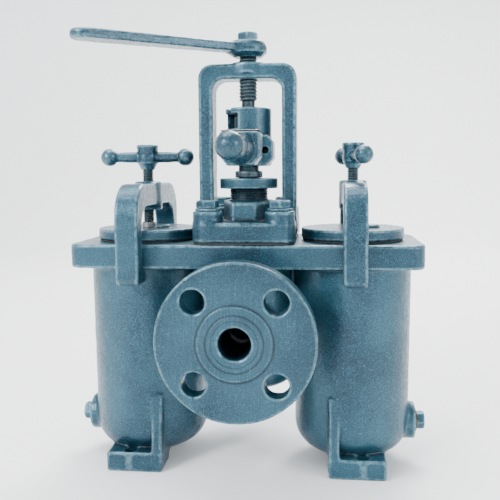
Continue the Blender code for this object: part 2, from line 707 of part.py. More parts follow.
def add_cover(name, side):
    at = (side * VESSEL_X, 0, 0)
    ring = washer(MOUTH_RADIUS, GASKET_RADIUS, GAP, GAP + GASKET_THICKNESS)
    add_part(f"cover_gasket_{name}", ring, "black_gasket", at)
    profile = [
        (0, COVER_TOP),
        (COVER_RADIUS - COVER_EDGE, COVER_TOP),
        (COVER_RADIUS, COVER_TOP - COVER_EDGE),
        (COVER_RADIUS, COVER_BASE),
        (SPIGOT_RADIUS, COVER_BASE),
        (SPIGOT_RADIUS, -COVER_SPIGOT_DEPTH),
        (0, -COVER_SPIGOT_DEPTH),
    ]
    cover = add_part(f"cover_{name}", turned(profile), "enamel", at)
    width, depth = VENT_BOSS_SIZE
    circle = arc((0, 0), 1, 0, 330, 11)
    outline = [(VENT_BOSS_X + width / 2 * x, VENT_BOSS_Y + depth / 2 * y) for x, y in circle]
    join(cover, extruded(outline, COVER_TOP - VENT_BOSS_HEIGHT, COVER_TOP + VENT_BOSS_HEIGHT))


def add_basket(name, side):
    at = (side * VESSEL_X, 0, 0)
    rim_base = GAP - SEAT_DEPTH
    rim_top = rim_base + BASKET_RIM_HEIGHT
    base = rim_base - BASKET_LENGTH
    inner = BASKET_RADIUS - BASKET_WALL
    profile = [
        (0, base + BASKET_WALL),
        (inner, base + BASKET_WALL),
        (inner, rim_top),
        (BASKET_RIM_RADIUS, rim_top),
        (BASKET_RIM_RADIUS, rim_base),
        (BASKET_RADIUS, rim_base),
        (BASKET_RADIUS, base),
        (0, base),
    ]
    basket = add_part(f"basket_{name}", turned(profile, SIDES_MEDIUM), "steel", at)
    half = BASKET_WINDOW_WIDTH / 2
    low = (-BASKET_RIM_RADIUS, -half, base + BASKET_WINDOW_BAR)
    high = (BASKET_RIM_RADIUS, half, rim_base - BASKET_WINDOW_BAR)
    windows = [block(low, high) for _ in range(BASKET_WINDOWS // 2)]
    for i, window in enumerate(windows):
        window.transform(Matrix.Rotation(2 * math.pi / BASKET_WINDOWS * (i + 0.5), 4, "Z"))
    cut(basket, *windows)

    reach = (BASKET_RIM_RADIUS + inner) / 2
    foot_z = rim_top + GAP
    route = [(reach, foot_z), *arc((0, foot_z + 2 * BAIL_WIRE_RADIUS), reach, 8, 172, 9), (-reach, foot_z)]
    curve = bpy.data.curves.new(f"basket_bail_{name}", "CURVE")
    curve.dimensions = "3D"
    curve.bevel_depth = BAIL_WIRE_RADIUS
    curve.bevel_resolution = 2
    curve.use_fill_caps = True
    spline = curve.splines.new("POLY")
    spline.points.add(len(route) - 1)
    for point, (y, z) in zip(spline.points, route):
        point.co = (0, y, z, 1)
    helper = bpy.data.objects.new("bail", curve)
    TOOLS.objects.link(helper)
    add_part(f"basket_bail_{name}", frozen(helper), "steel", at)


# Bonnet, its fasteners and the gland


def add_bonnet():
    outline = rectangle(BONNET_WIDTH, BONNET_DEPTH, BONNET_CORNER)
    gasket = add_part("bonnet_gasket", extruded(outline, GAP, GAP + GASKET_THICKNESS), "black_gasket")
    hole = BOLT_RADIUS + LOOSE
    holes = [rod(hole, (x, y, -PLATE_THICKNESS), (x, y, YOKE_TOP / 2), SIDES_TINY) for x, y in BOLT_PLACES]
    cut(gasket, rod(PLUG_TOP_RADIUS + GAP, (0, 0, -PLATE_THICKNESS), (0, 0, PLATE_THICKNESS)), *holes)

    bonnet = add_part("bonnet_yoke", extruded(outline, BONNET_BASE, BONNET_TOP), "enamel")
    leg_foot = (BONNET_BASE + BONNET_TOP) / 2
    half = YOKE_WIDTH / 2
    inside = half - YOKE_LEG
    arch = filleted(
        [
            (-half, leg_foot, 0),
            (-half, YOKE_TOP, YOKE_CORNER),
            (half, YOKE_TOP, YOKE_CORNER),
            (half, leg_foot, 0),
            (inside, leg_foot, 0),
            (inside, YOKE_TOP - YOKE_BAR, YOKE_INNER_CORNER),
            (-inside, YOKE_TOP - YOKE_BAR, YOKE_INNER_CORNER),
            (-inside, leg_foot, 0),
        ],
        5,
    )
    gland_lugs = filleted(
        [
            (-GLAND_LUG_WIDTH / 2, -GLAND_LUG_REACH, GLAND_LUG_CORNER),
            (GLAND_LUG_WIDTH / 2, -GLAND_LUG_REACH, GLAND_LUG_CORNER),
            (GLAND_LUG_ROOT_WIDTH / 2, -GLAND_LUG_ROOT_Y, 0),
            (GLAND_LUG_ROOT_WIDTH / 2, GLAND_LUG_ROOT_Y, 0),
            (GLAND_LUG_WIDTH / 2, GLAND_LUG_REACH, GLAND_LUG_CORNER),
            (-GLAND_LUG_WIDTH / 2, GLAND_LUG_REACH, GLAND_LUG_CORNER),
            (-GLAND_LUG_ROOT_WIDTH / 2, GLAND_LUG_ROOT_Y, 0),
            (-GLAND_LUG_ROOT_WIDTH / 2, -GLAND_LUG_ROOT_Y, 0),
        ],
        2,
    )
    solids = [
        extruded(arch, -YOKE_DEPTH / 2, YOKE_DEPTH / 2, ALONG_Y),
        rod(STUFFING_RADIUS, (0, 0, leg_foot), (0, 0, STUFFING_TOP)),
        extruded(gland_lugs, leg_foot, STUFFING_TOP - GAP),
        rod(YOKE_BOSS_RADIUS, (0, 0, YOKE_TOP - YOKE_BAR / 2), (0, 0, YOKE_TOP + YOKE_BOSS_RISE)),
    ]
    for x, y in BOLT_PLACES:
        solids.append(rod(BONNET_CORNER, (x, y, leg_foot), (x, y, LUG_TOP), SIDES_MEDIUM))
    join(bonnet, *solids)
    bar_low = (0, 0, YOKE_TOP - 2 * YOKE_BAR)
    bar_high = (0, 0, YOKE_TOP + YOKE_BAR)
    cut(
        bonnet,
        rod(STUFFING_BORE, (0, 0, STUFFING_FLOOR), (0, 0, STUFFING_TOP * 2)),
        rod(STEM_BORE, (0, 0, -PLATE_THICKNESS), (0, 0, STUFFING_TOP), SIDES_SMALL),
        rod(JACK_RADIUS + SCREW_CLEARANCE, bar_low, bar_high, SIDES_SMALL),
        *holes,
    )


def add_bonnet_bolts():
    for i, (x, y) in enumerate(BOLT_PLACES, 1):
        at = (x, y, LUG_TOP)
        seat = GAP + WASHER_THICKNESS
        ring = washer(BOLT_RADIUS + LOOSE, WASHER_RADIUS, GAP, seat, SIDES_SMALL)
        add_part(f"bonnet_washer_{i}", ring, "steel", at)
        head = hexagon(BOLT_HEX, (0, 0, seat + GAP), (0, 0, seat + GAP + BOLT_HEAD))
        bolt = add_part(f"bonnet_bolt_{i}", head, "enamel", at)
        shank_end = -LUG_TOP - BOLT_ENGAGEMENT
        join(bolt, rod(BOLT_RADIUS, (0, 0, shank_end), (0, 0, seat + BOLT_HEAD / 2), SIDES_TINY))


def add_gland():
    packing_base = STUFFING_FLOOR + GAP
    packing_top = packing_base + PACKING_HEIGHT
    outer = STUFFING_BORE - GAP
    add_part("stem_packing", washer(STEM_BORE, outer, packing_base, packing_top, SIDES_SMALL), "packing")
    disc_base = GLAND_TOP - GLAND_DISC
    profile = [
        (STEM_BORE, GLAND_TOP),
        (GLAND_RADIUS - GLAND_EDGE, GLAND_TOP),
        (GLAND_RADIUS, GLAND_TOP - GLAND_EDGE),
        (GLAND_RADIUS, disc_base),
        (outer, disc_base),
        (outer, packing_top + GAP),
        (STEM_BORE, packing_top + GAP),
    ]
    add_part("gland_nut", turned(profile, SIDES_MEDIUM), "enamel")


# Changeover cock


def add_plug():
    above = 1e-4
    profile = plug_profile(0, above, above)[1:]
    stem_top = HEAD_BORE_TOP - GAP
    stem = [(0, stem_top), (STEM_RADIUS, stem_top), (STEM_RADIUS, -PLUG_TOP_DROP + above)]
    plug = add_part("cock_plug", turned(stem + profile, SIDES_INSIDE), "bronze")
    wide = 2 * PLUG_TOP_RADIUS
    web = PLUG_WEB / 2
    half = PLUG_WINDOW_HEIGHT / 2
    windows = []
    for side in (-1, 1):
        near, far = sorted((side * web, side * wide))
        windows.append(block((-wide, near, -UPPER_PORT_DROP - half), (wide, far, -UPPER_PORT_DROP + half)))
        windows.append(block((near, -wide, -LOWER_PORT_DROP - half), (far, wide, -LOWER_PORT_DROP + half)))
    cut(plug, *windows)


def slot_tool(radius, low, high):
    """A round-ended slot from the axis out through one side, to slide the jack screw's head in."""
    way = block((0, -radius, low), (2 * HEAD_RADIUS, radius, high))
    way.transform(Matrix.Rotation(SLOT_DIRECTION, 4, "Z"))
    return [rod(radius, (0, 0, low), (0, 0, high), SIDES_MEDIUM), way]


def add_stem_head():
    collar_base = GLAND_TOP + GAP
    collar = washer(STEM_BORE, COLLAR_RADIUS, collar_base, collar_base + COLLAR_HEIGHT, SIDES_SMALL)
    add_part("stem_collar", collar, "worn_enamel")

    head = add_part("stem_head", rod(HEAD_RADIUS, (0, 0, HEAD_BASE), (0, 0, HEAD_TOP), SIDES_LARGE), "enamel")
    ear_low = HANDLE_AXIS - EAR_HEIGHT / 2
    ear_high = HANDLE_AXIS + EAR_HEIGHT / 2
    ear = [
        (0, ear_low),
        (EAR_REACH - EAR_CHAMFER, ear_low),
        (EAR_REACH, ear_low + EAR_CHAMFER),
        (EAR_REACH, ear_high - EAR_CHAMFER),
        (EAR_REACH - EAR_CHAMFER, ear_high),
        (0, ear_high),
    ]
    join(head, extruded(ear, -EAR_BACK, EAR_FRONT, ALONG_Y))
    hole_x = (STEM_RADIUS + EAR_REACH) / 2
    hole = [(hole_x, y, HANDLE_AXIS) for y in (-2 * EAR_FRONT, EAR_BACK - EAR_HOLE_FLOOR)]
    socket = HANDLE_SPIGOT_RADIUS + SCREW_CLEARANCE
    cut(
        head,
        rod(STEM_BORE, (0, 0, 0), (0, 0, HEAD_BORE_TOP), SIDES_SMALL),
        rod(EAR_HOLE_RADIUS, *hole, SIDES_TINY),
        rod(socket, (0, -2 * HEAD_RADIUS, HANDLE_AXIS), (0, -STEM_BORE - 4 * GAP, HANDLE_AXIS), SIDES_SMALL),
        *slot_tool(SLOT_HALF_WIDTH, SLOT_FLOOR, SLOT_ROOF),
        *slot_tool(JACK_NECK_RADIUS + LOOSE, SLOT_FLOOR + GAP, HEAD_TOP * 2),
    )


def grip_profile():
    """From the block's face along the handle to the round end."""
    length = GRIP_LENGTH
    end = length - GRIP_END_RADIUS
    return [
        (0, -length / 4),
        (GRIP_ROOT_RADIUS, -length / 4),
        (GRIP_ROOT_RADIUS, 0),
        (GRIP_THIN_RADIUS, 0.2 * length),
        *arc((0, end), GRIP_END_RADIUS, 8, 76, 5),
        (0, length),
    ]


def add_handle():
    handle = add_part(
        "changeover_handle",
        rod(HANDLE_NECK_RADIUS, (0, 0, HANDLE_AXIS), (0, -HANDLE_BLOCK_BACK - GAP, HANDLE_AXIS)),
        "enamel",
    )
    cut(handle, rod(HEAD_RADIUS + GAP, (0, 0, 0), (0, 0, HEAD_TOP * 2), SIDES_LARGE))
    x, height = HANDLE_BLOCK_WIDTH / 2, HANDLE_BLOCK_HEIGHT / 2
    section = filleted(
        [
            (-x, height, HANDLE_BLOCK_EDGE),
            (x, height, HANDLE_BLOCK_EDGE),
            (x, -height / 2, 0),
            (x * 0.65, -height, 0),
            (-x * 0.65, -height, 0),
            (-x, -height / 2, 0),
        ],
        2,
    )
    section = [(px, pz + HANDLE_AXIS) for px, pz in section]
    lay_down = Matrix.Translation((0, -HANDLE_BLOCK_FRONT, HANDLE_AXIS)) @ TOWARDS_FRONT
    spigot = [(0, y, HANDLE_AXIS) for y in (-STEM_BORE - 5 * GAP, -HANDLE_BLOCK_BACK)]
    join(
        handle,
        extruded(section, HANDLE_BLOCK_BACK, HANDLE_BLOCK_FRONT, ALONG_Y),
        turned(grip_profile(), SIDES_MEDIUM, lay_down),
        rod(HANDLE_SPIGOT_RADIUS, *spigot, SIDES_SMALL),
    )
    rivets = [(side * (NAMEPLATE_WIDTH / 2 - RIVET_INSET), NAMEPLATE_Y) for side in (-1, 1)]
    hole = RIVET_RADIUS + GAP
    hole_end = BLOCK_TOP - RIVET_LENGTH - GAP
    holes = [rod(hole, (x, y, hole_end), (x, y, BLOCK_TOP + RIVET_LENGTH), SIDES_RIVET) for x, y in rivets]
    cut(handle, *holes)

    base = BLOCK_TOP + GAP
    face = base + NAMEPLATE_THICKNESS
    plate_low = (-NAMEPLATE_WIDTH / 2, NAMEPLATE_Y - NAMEPLATE_DEPTH / 2, base)
    plate_high = (NAMEPLATE_WIDTH / 2, NAMEPLATE_Y + NAMEPLATE_DEPTH / 2, face)
    plate = add_part("direction_plate", block(plate_low, plate_high), "nameplate")
    holes = [rod(hole, (x, y, hole_end), (x, y, BLOCK_TOP + RIVET_LENGTH), SIDES_RIVET) for x, y in rivets]
    cut(plate, *holes)
    for name, (x, y) in zip(("left", "right"), rivets):
        top = face + GAP
        profile = [
            (0, top + RIVET_HEAD_HEIGHT),
            (RIVET_HEAD_RADIUS * 0.6, top + RIVET_HEAD_HEIGHT * 0.8),
            (RIVET_HEAD_RADIUS, top),
            (RIVET_RADIUS, top),
            (RIVET_RADIUS, BLOCK_TOP - RIVET_LENGTH),
            (0, BLOCK_TOP - RIVET_LENGTH),
        ]
        add_part(f"plate_rivet_{name}", turned(profile, SIDES_RIVET, Matrix.Translation((x, y, 0))), "copper")


# Jack screw and lever


def add_jack():
    inner = JACK_NECK_RADIUS + LOOSE / 2
    outer = SLOT_HALF_WIDTH - LOOSE
    base = JACK_HEAD_TOP + GAP
    ring = washer(inner, outer, base, base + THRUST_WASHER_THICKNESS, SIDES_SMALL)
    add_part("thrust_washer", ring, "bronze")

    head_base = SLOT_FLOOR + GAP
    spigot_top = LEVER_HUB_TOP - GAP
    profile = [
        (0, spigot_top),
        (JACK_SPIGOT_RADIUS, spigot_top),
        (JACK_SPIGOT_RADIUS, LEVER_HUB_BASE - GAP),
        (JACK_RADIUS, LEVER_HUB_BASE - GAP),
        (JACK_RADIUS, JACK_NECK_TOP),
        (JACK_NECK_RADIUS, JACK_NECK_TOP),
        (JACK_NECK_RADIUS, JACK_HEAD_TOP),
        (outer, JACK_HEAD_TOP),
        (outer, head_base),
        (0, head_base),
    ]
    jack = add_part("jack_screw", turned(profile, SIDES_SMALL), "steel")
    bolt_end = LEVER_HUB_TOP - LEVER_BOLT_LENGTH
    hole = LEVER_BOLT_RADIUS + SCREW_CLEARANCE
    cut(jack, rod(hole, (0, 0, bolt_end - GAP), (0, 0, 2 * spigot_top), SIDES_TINY))

    head = hexagon(LEVER_BOLT_HEX, (0, 0, LEVER_HUB_TOP + GAP), (0, 0, LEVER_HUB_TOP + LEVER_BOLT_HEAD))
    bolt = add_part("lever_bolt", head, "enamel")
    bolt.data.transform(Matrix.Rotation(math.radians(30), 4, "Z"))
    inside_head = (0, 0, LEVER_HUB_TOP + LEVER_BOLT_HEAD / 2)
    join(bolt, rod(LEVER_BOLT_RADIUS, (0, 0, bolt_end), inside_head, SIDES_TINY))


def add_lever():
    waist = 0.7 * LEVER_HUB_RADIUS
    low, height = LEVER_HUB_BASE, LEVER_HUB_HEIGHT
    hub = [
        (0, low + height),
        (0.84 * LEVER_HUB_RADIUS, low + height),
        (LEVER_HUB_RADIUS, low + 0.7 * height),
        (LEVER_HUB_RADIUS, low + 0.3 * height),
        (waist, low),
        (0, low),
    ]
    lever = add_part("jack_lever", turned(hub, SIDES_MEDIUM), "enamel")
    root, tip = LEVER_ROOT_WIDTH / 2, LEVER_TIP_WIDTH / 2
    outline = [(0, root), (0, -root), *arc((LEVER_LENGTH, 0), tip, -90, 90, 10)]
    middle = low + 0.55 * height
    arm = extruded(outline, middle - LEVER_THICKNESS / 2, middle + LEVER_THICKNESS / 2)
    arm.transform(Matrix.Rotation(LEVER_REST, 4, "Z"))
    join(lever, arm)
    cut(lever, rod(JACK_SPIGOT_RADIUS + GAP, (0, 0, 0), (0, 0, 2 * YOKE_TOP), SIDES_SMALL))


# Cover clamps


def clamp_outline():
    """The bridge seen from the side, with a hook under each long edge of the plate."""
    outer = CLAMP_HALF_LENGTH
    inner = outer - CLAMP_LEG
    hook = VESSEL_RADIUS + HOOK_VESSEL_CLEARANCE
    base = HOOK_TOP - HOOK_THICKNESS
    inner_shoulder = CLAMP_SHOULDER - CLAMP_LEG / 2
    return filleted(
        [
            (-outer, base, HOOK_CORNER),
            (-hook, base, HOOK_EDGE),
            (-hook, HOOK_TOP, 0),
            (-inner, HOOK_TOP, HOOK_INNER_EDGE),
            (-inner, CLAMP_UNDERSIDE, inner_shoulder),
            (inner, CLAMP_UNDERSIDE, inner_shoulder),
            (inner, HOOK_TOP, HOOK_INNER_EDGE),
            (hook, HOOK_TOP, 0),
            (hook, base, HOOK_EDGE),
            (outer, base, HOOK_CORNER),
            (outer, CLAMP_TOP, CLAMP_SHOULDER),
            (-outer, CLAMP_TOP, CLAMP_SHOULDER),
        ],
        4,
    )


def tee_handle(angle):
    """The hub, and the two arms with their balls as one turned bar."""
    side = [
        (ARM_HALF_LENGTH + BALL_RADIUS * math.cos(a), BALL_RADIUS * math.sin(a))
        for a in (math.radians(d) for d in range(0, 150, 36))
    ]
    half = [(radius, along) for along, radius in side]
    half.append((ARM_RADIUS, ARM_HALF_LENGTH * 0.55))
    profile = half + [(radius, -along) for radius, along in reversed(half)]
    bar = turned([(0, profile[0][1]), *profile[1:-1], (0, profile[-1][1])], SIDES_TINY, TOWARDS_RIGHT)
    bar.transform(Matrix.Translation((0, 0, ARM_AXIS)) @ Matrix.Rotation(angle, 4, "Z"))
    return bar


def add_clamp(name, side):
    at = (side * VESSEL_X, 0, 0)
    half = CLAMP_WIDTH / 2
    clamp = add_part(f"clamp_{name}", extruded(clamp_outline(), -half, half, ALONG_X), "enamel", at)
    boss_base = CLAMP_UNDERSIDE - CLAMP_BOSS_DROP
    join(clamp, rod(CLAMP_BOSS_RADIUS, (0, 0, boss_base), (0, 0, CLAMP_TOP + CLAMP_BOSS_RISE)))
    cut(clamp, rod(CLAMP_SCREW_RADIUS + SCREW_CLEARANCE, (0, 0, 0), (0, 0, 2 * CLAMP_TOP), SIDES_SMALL))

    screw_base = TIP_BASE + TIP_HEIGHT + GAP
    tip = rod(TIP_RADIUS, (0, 0, TIP_BASE), (0, 0, TIP_BASE + TIP_HEIGHT), SIDES_SMALL)
    add_part(f"clamp_tip_{name}", tip, "steel", at)
    screw_top = TEE_BASE + TEE_SOCKET
    screw = rod(CLAMP_SCREW_RADIUS, (0, 0, screw_base), (0, 0, screw_top), SIDES_SMALL)
    add_part(f"clamp_screw_{name}", screw, "worn_enamel", at)

    hub = [
        (0, TEE_TOP),
        (TEE_RADIUS, TEE_TOP),
        (TEE_RADIUS * 0.93, ARM_AXIS),
        (TEE_RADIUS, TEE_BASE + TEE_HEIGHT * 0.28),
        (TEE_BASE_RADIUS, TEE_BASE),
        (0, TEE_BASE),
    ]
    handle = add_part(f"clamp_handle_{name}", turned(hub, SIDES_SMALL), "enamel", at)
    join(handle, tee_handle(TEE_REST[name]))
    cut(handle, rod(CLAMP_SCREW_RADIUS + GAP, (0, 0, 0), (0, 0, screw_top + GAP), SIDES_SMALL))


def smooth(part):
    part.data.shade_smooth()
    part.data.set_sharp_from_angle(angle=math.radians(35))


def build():
    add_body()
    for name, side in SIDES.items():
        add_drain(name, side)
        add_cover(name, side)
        add_basket(name, side)
        add_clamp(name, side)
    add_bonnet()
    add_bonnet_bolts()
    add_gland()
    add_plug()
    add_stem_head()
    add_handle()
    add_jack()
    add_lever()
    for part in PARTS.objects:
        if part.type == "MESH":
            smooth(part)
    FRAME.location = (0, STEM_Y, BODY_HEIGHT)


build()
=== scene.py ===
"""Looks for the duplex basket strainer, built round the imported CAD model.

The castings and turned pieces are signed distances, worked out on a grid and turned into smooth meshes by
OpenVDB, so that they get the fillets and soft edges of painted iron. They are written in millimetres in the
strainer's own frame: X along the top plate, Y towards the outlet flange, Z up, zero on the cock's axis at
the top of the plate. Every piece rides on the CAD body of the node that it stands for.
"""

import collections
import copy
import math

import bpy
import numpy as np
import openvdb
from mathutils import Euler, Matrix, Vector


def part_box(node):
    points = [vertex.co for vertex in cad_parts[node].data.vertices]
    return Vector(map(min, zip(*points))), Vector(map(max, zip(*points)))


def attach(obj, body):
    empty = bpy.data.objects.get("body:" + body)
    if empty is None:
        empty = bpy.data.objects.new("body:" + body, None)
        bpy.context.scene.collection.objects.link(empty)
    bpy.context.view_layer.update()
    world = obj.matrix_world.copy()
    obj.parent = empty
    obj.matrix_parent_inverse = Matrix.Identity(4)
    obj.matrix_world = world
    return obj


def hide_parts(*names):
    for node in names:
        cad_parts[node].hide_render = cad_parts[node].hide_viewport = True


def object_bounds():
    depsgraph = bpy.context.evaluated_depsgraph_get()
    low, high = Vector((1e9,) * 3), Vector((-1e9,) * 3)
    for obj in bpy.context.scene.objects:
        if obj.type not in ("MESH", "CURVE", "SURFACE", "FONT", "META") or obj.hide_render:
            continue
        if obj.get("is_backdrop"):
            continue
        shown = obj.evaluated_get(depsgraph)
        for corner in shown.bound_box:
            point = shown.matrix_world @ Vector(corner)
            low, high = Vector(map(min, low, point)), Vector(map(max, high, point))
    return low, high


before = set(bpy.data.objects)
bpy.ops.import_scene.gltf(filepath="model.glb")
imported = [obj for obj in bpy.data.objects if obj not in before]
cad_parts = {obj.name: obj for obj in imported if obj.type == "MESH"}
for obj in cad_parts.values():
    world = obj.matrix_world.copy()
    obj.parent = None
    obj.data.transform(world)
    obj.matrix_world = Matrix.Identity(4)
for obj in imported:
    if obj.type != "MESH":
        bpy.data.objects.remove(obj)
cad_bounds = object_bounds()

MM = 0.001
COARSER = 1.0

# The strainer's own origin in the frame: the cock's axis, at the top of the plate
_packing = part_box("stem_packing")
ORIGIN = Vector(
    (
        (_packing[0].x + _packing[1].x) / 2,
        (_packing[0].y + _packing[1].y) / 2,
        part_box("strainer_body")[1].z,
    )
)


def span(node, axis):
    """A CAD node's ends along an axis (0, 1, 2), in millimetres in the strainer's frame."""
    low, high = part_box(node)
    return (low[axis] - ORIGIN[axis]) / MM, (high[axis] - ORIGIN[axis]) / MM


def middle(node, axis):
    return sum(span(node, axis)) / 2


def corners(node):
    """A CAD node's lowest and highest corner, in the same frame."""
    return tuple(zip(*(span(node, axis) for axis in range(3))))


# Signed distances


# What a shape is: the corners of its box, and its distance at coordinates that broadcast
Shape = collections.namedtuple("Shape", "low high distance")
RADIUS_STEPS = 400  # how finely a turned shape's distances are tabulated across its radius


def rounded(a, b, edge):
    """The distance to what two distances have in common, its edge rounded to a radius."""
    a, b = a + edge, b + edge
    return np.minimum(np.maximum(a, b), 0) + np.hypot(np.maximum(a, 0), np.maximum(b, 0)) - edge


def outline_distance(points, u, v):
    """The distance from places (u, v) to a closed outline, negative inside."""
    nearest = np.float32(1e6)
    inside = np.zeros(np.broadcast_shapes(np.shape(u), np.shape(v)), bool)
    for (ax, ay), (bx, by) in zip(points, points[1:] + points[:1]):
        ex, ey = bx - ax, by - ay
        length = ex * ex + ey * ey
        if length < 1e-12:
            continue
        du, dv = u - ax, v - ay
        along = np.clip((du * ex + dv * ey) / length, 0, 1)
        nearest = np.minimum(nearest, np.hypot(du - ex * along, dv - ey * along))
        if ay != by:
            inside ^= ((ay > v) != (by > v)) & (du < dv * ex / ey)
    return np.where(inside, -nearest, nearest)


def arranged(axis, u, v, w):
    """Three values given across and along an axis (0, 1, 2), in X, Y, Z order."""
    return {0: (w, u, v), 1: (u, w, v), 2: (u, v, w)}[axis]


def across(axis, x, y, z):
    """The two coordinates across an axis, and the one along it."""
    return {0: (y, z, x), 1: (x, z, y), 2: (x, y, z)}[axis]


def about(axis, centre, reach, ends, distance):
    """A shape that keeps within a reach of a line along an axis, and between two places along it."""
    return Shape(
        arranged(axis, centre[0] - reach, centre[1] - reach, min(ends)),
        arranged(axis, centre[0] + reach, centre[1] + reach, max(ends)),
        distance,
    )


def rod(axis, centre, radius, ends, edge=0.0):
    """A cylinder along an axis, through a centre given by the two other coordinates."""
    low, high = sorted(ends)

    def distance(x, y, z):
        u, v, w = across(axis, x, y, z)
        radial = np.hypot(u - centre[0], v - centre[1]) - radius
        return rounded(radial, np.abs(w - (low + high) / 2) - (high - low) / 2, edge)

    return about(axis, centre, radius, ends, distance)


def post(radius, ends, edge=0.0):
    """A rod on the cock's axis."""
    return rod(2, (0, 0), radius, ends, edge)


def slanted_rod(start, end, radius):
    """A round-ended cylinder between two points."""
    start, end = np.array(start, float), np.array(end, float)
    line = end - start

    def distance(x, y, z):
        along = (x - start[0]) * line[0] + (y - start[1]) * line[1] + (z - start[2]) * line[2]
        along = np.clip(along / (line @ line), 0, 1)
        dx, dy, dz = (p - s - along * d for p, s, d in zip((x, y, z), start, line))
        return np.sqrt(dx * dx + dy * dy + dz * dz) - radius

    return Shape(np.minimum(start, end) - radius, np.maximum(start, end) + radius, distance)


def bar(low, high, edge=0.0):
    """A block between two corners."""
    low, high = (np.array(ends, float) for ends in zip(*(sorted(pair) for pair in zip(low, high))))
    centre, half = (low + high) / 2, (high - low) / 2 - edge

    def distance(x, y, z):
        q = [np.abs(p - c) - h for p, c, h in zip((x, y, z), centre, half)]
        outside = np.sqrt(sum(np.maximum(each, 0) ** 2 for each in q))
        return outside + np.minimum(np.maximum(np.maximum(q[0], q[1]), q[2]), 0) - edge

    return Shape(low, high, distance)


def extruded(axis, points, ends, edge=0.0):
    """An outline, given by the two coordinates across an axis, made thick along it."""
    low, high = sorted(ends)
    us, vs = zip(*points)

    def distance(x, y, z):
        u, v, w = across(axis, x, y, z)
        flat = outline_distance(points, u, v)
        return rounded(flat, np.abs(w - (low + high) / 2) - (high - low) / 2, edge)

    return Shape(arranged(axis, min(us), min(vs), low), arranged(axis, max(us), max(vs), high), distance)


def turned(axis, centre, profile):
    """A solid of revolution. The profile holds (radius, place along the axis) from one end to the other."""
    whole = list(profile) + [(-r, h) for r, h in reversed(profile)]
    reach = max(r for r, _ in profile)
    heights = [h for _, h in profile]
    step = reach / RADIUS_STEPS

    def distance(x, y, z):
        u, v, w = across(axis, x, y, z)
        radial = np.hypot(u - centre[0], v - centre[1])
        places = np.ravel(w)
        radii = np.arange(0, radial.max() + 2 * step, step)
        table = outline_distance(whole, radii[:, None], places[None, :]).astype(np.float32)
        flat = np.squeeze(radial, axis=axis)
        index = np.minimum((flat / step).astype(int), len(radii) - 2)
        share = (flat / step - index)[..., None]
        found = table[index] * (1 - share) + table[index + 1] * share
        return np.moveaxis(found, -1, axis)

    return about(axis, centre, reach, heights, distance)


def threaded(centre, radius, ends, pitch, depth):
    """A vertical screw thread with rounded crests, right-handed."""

    def distance(x, y, z):
        dx, dy = x - centre[0], y - centre[1]
        turn = np.arctan2(dy, dx) / (2 * math.pi)
        wave = np.abs(((z / pitch - turn) % 1.0) * 2 - 1)
        crest = radius - depth * np.clip(1.25 - 1.5 * wave, 0, 1)
        low, high = sorted(ends)
        return np.maximum(np.hypot(dx, dy) - crest, np.abs(z - (low + high) / 2) - (high - low) / 2)

    return about(2, centre, radius, ends, distance)


def turned_about(shape, angle):
    """A shape swung round the Z axis."""
    cosine, sine = math.cos(angle), math.sin(angle)
    turned_corners = [
        (cosine * x - sine * y, sine * x + cosine * y)
        for x in (shape.low[0], shape.high[0])
        for y in (shape.low[1], shape.high[1])
    ]
    xs, ys = zip(*turned_corners)

    def distance(x, y, z):
        return shape.distance(cosine * x + sine * y, cosine * y - sine * x, z)

    return Shape((min(xs), min(ys), shape.low[2]), (max(xs), max(ys), shape.high[2]), distance)


def smooth_min(a, b, blend):
    """The smaller of two distances, with a fillet of about this radius where they meet."""
    if blend <= 0:
        return np.minimum(a, b)
    near = np.maximum(blend - np.abs(a - b), 0) / blend
    return np.minimum(a, b) - near * near * blend / 4


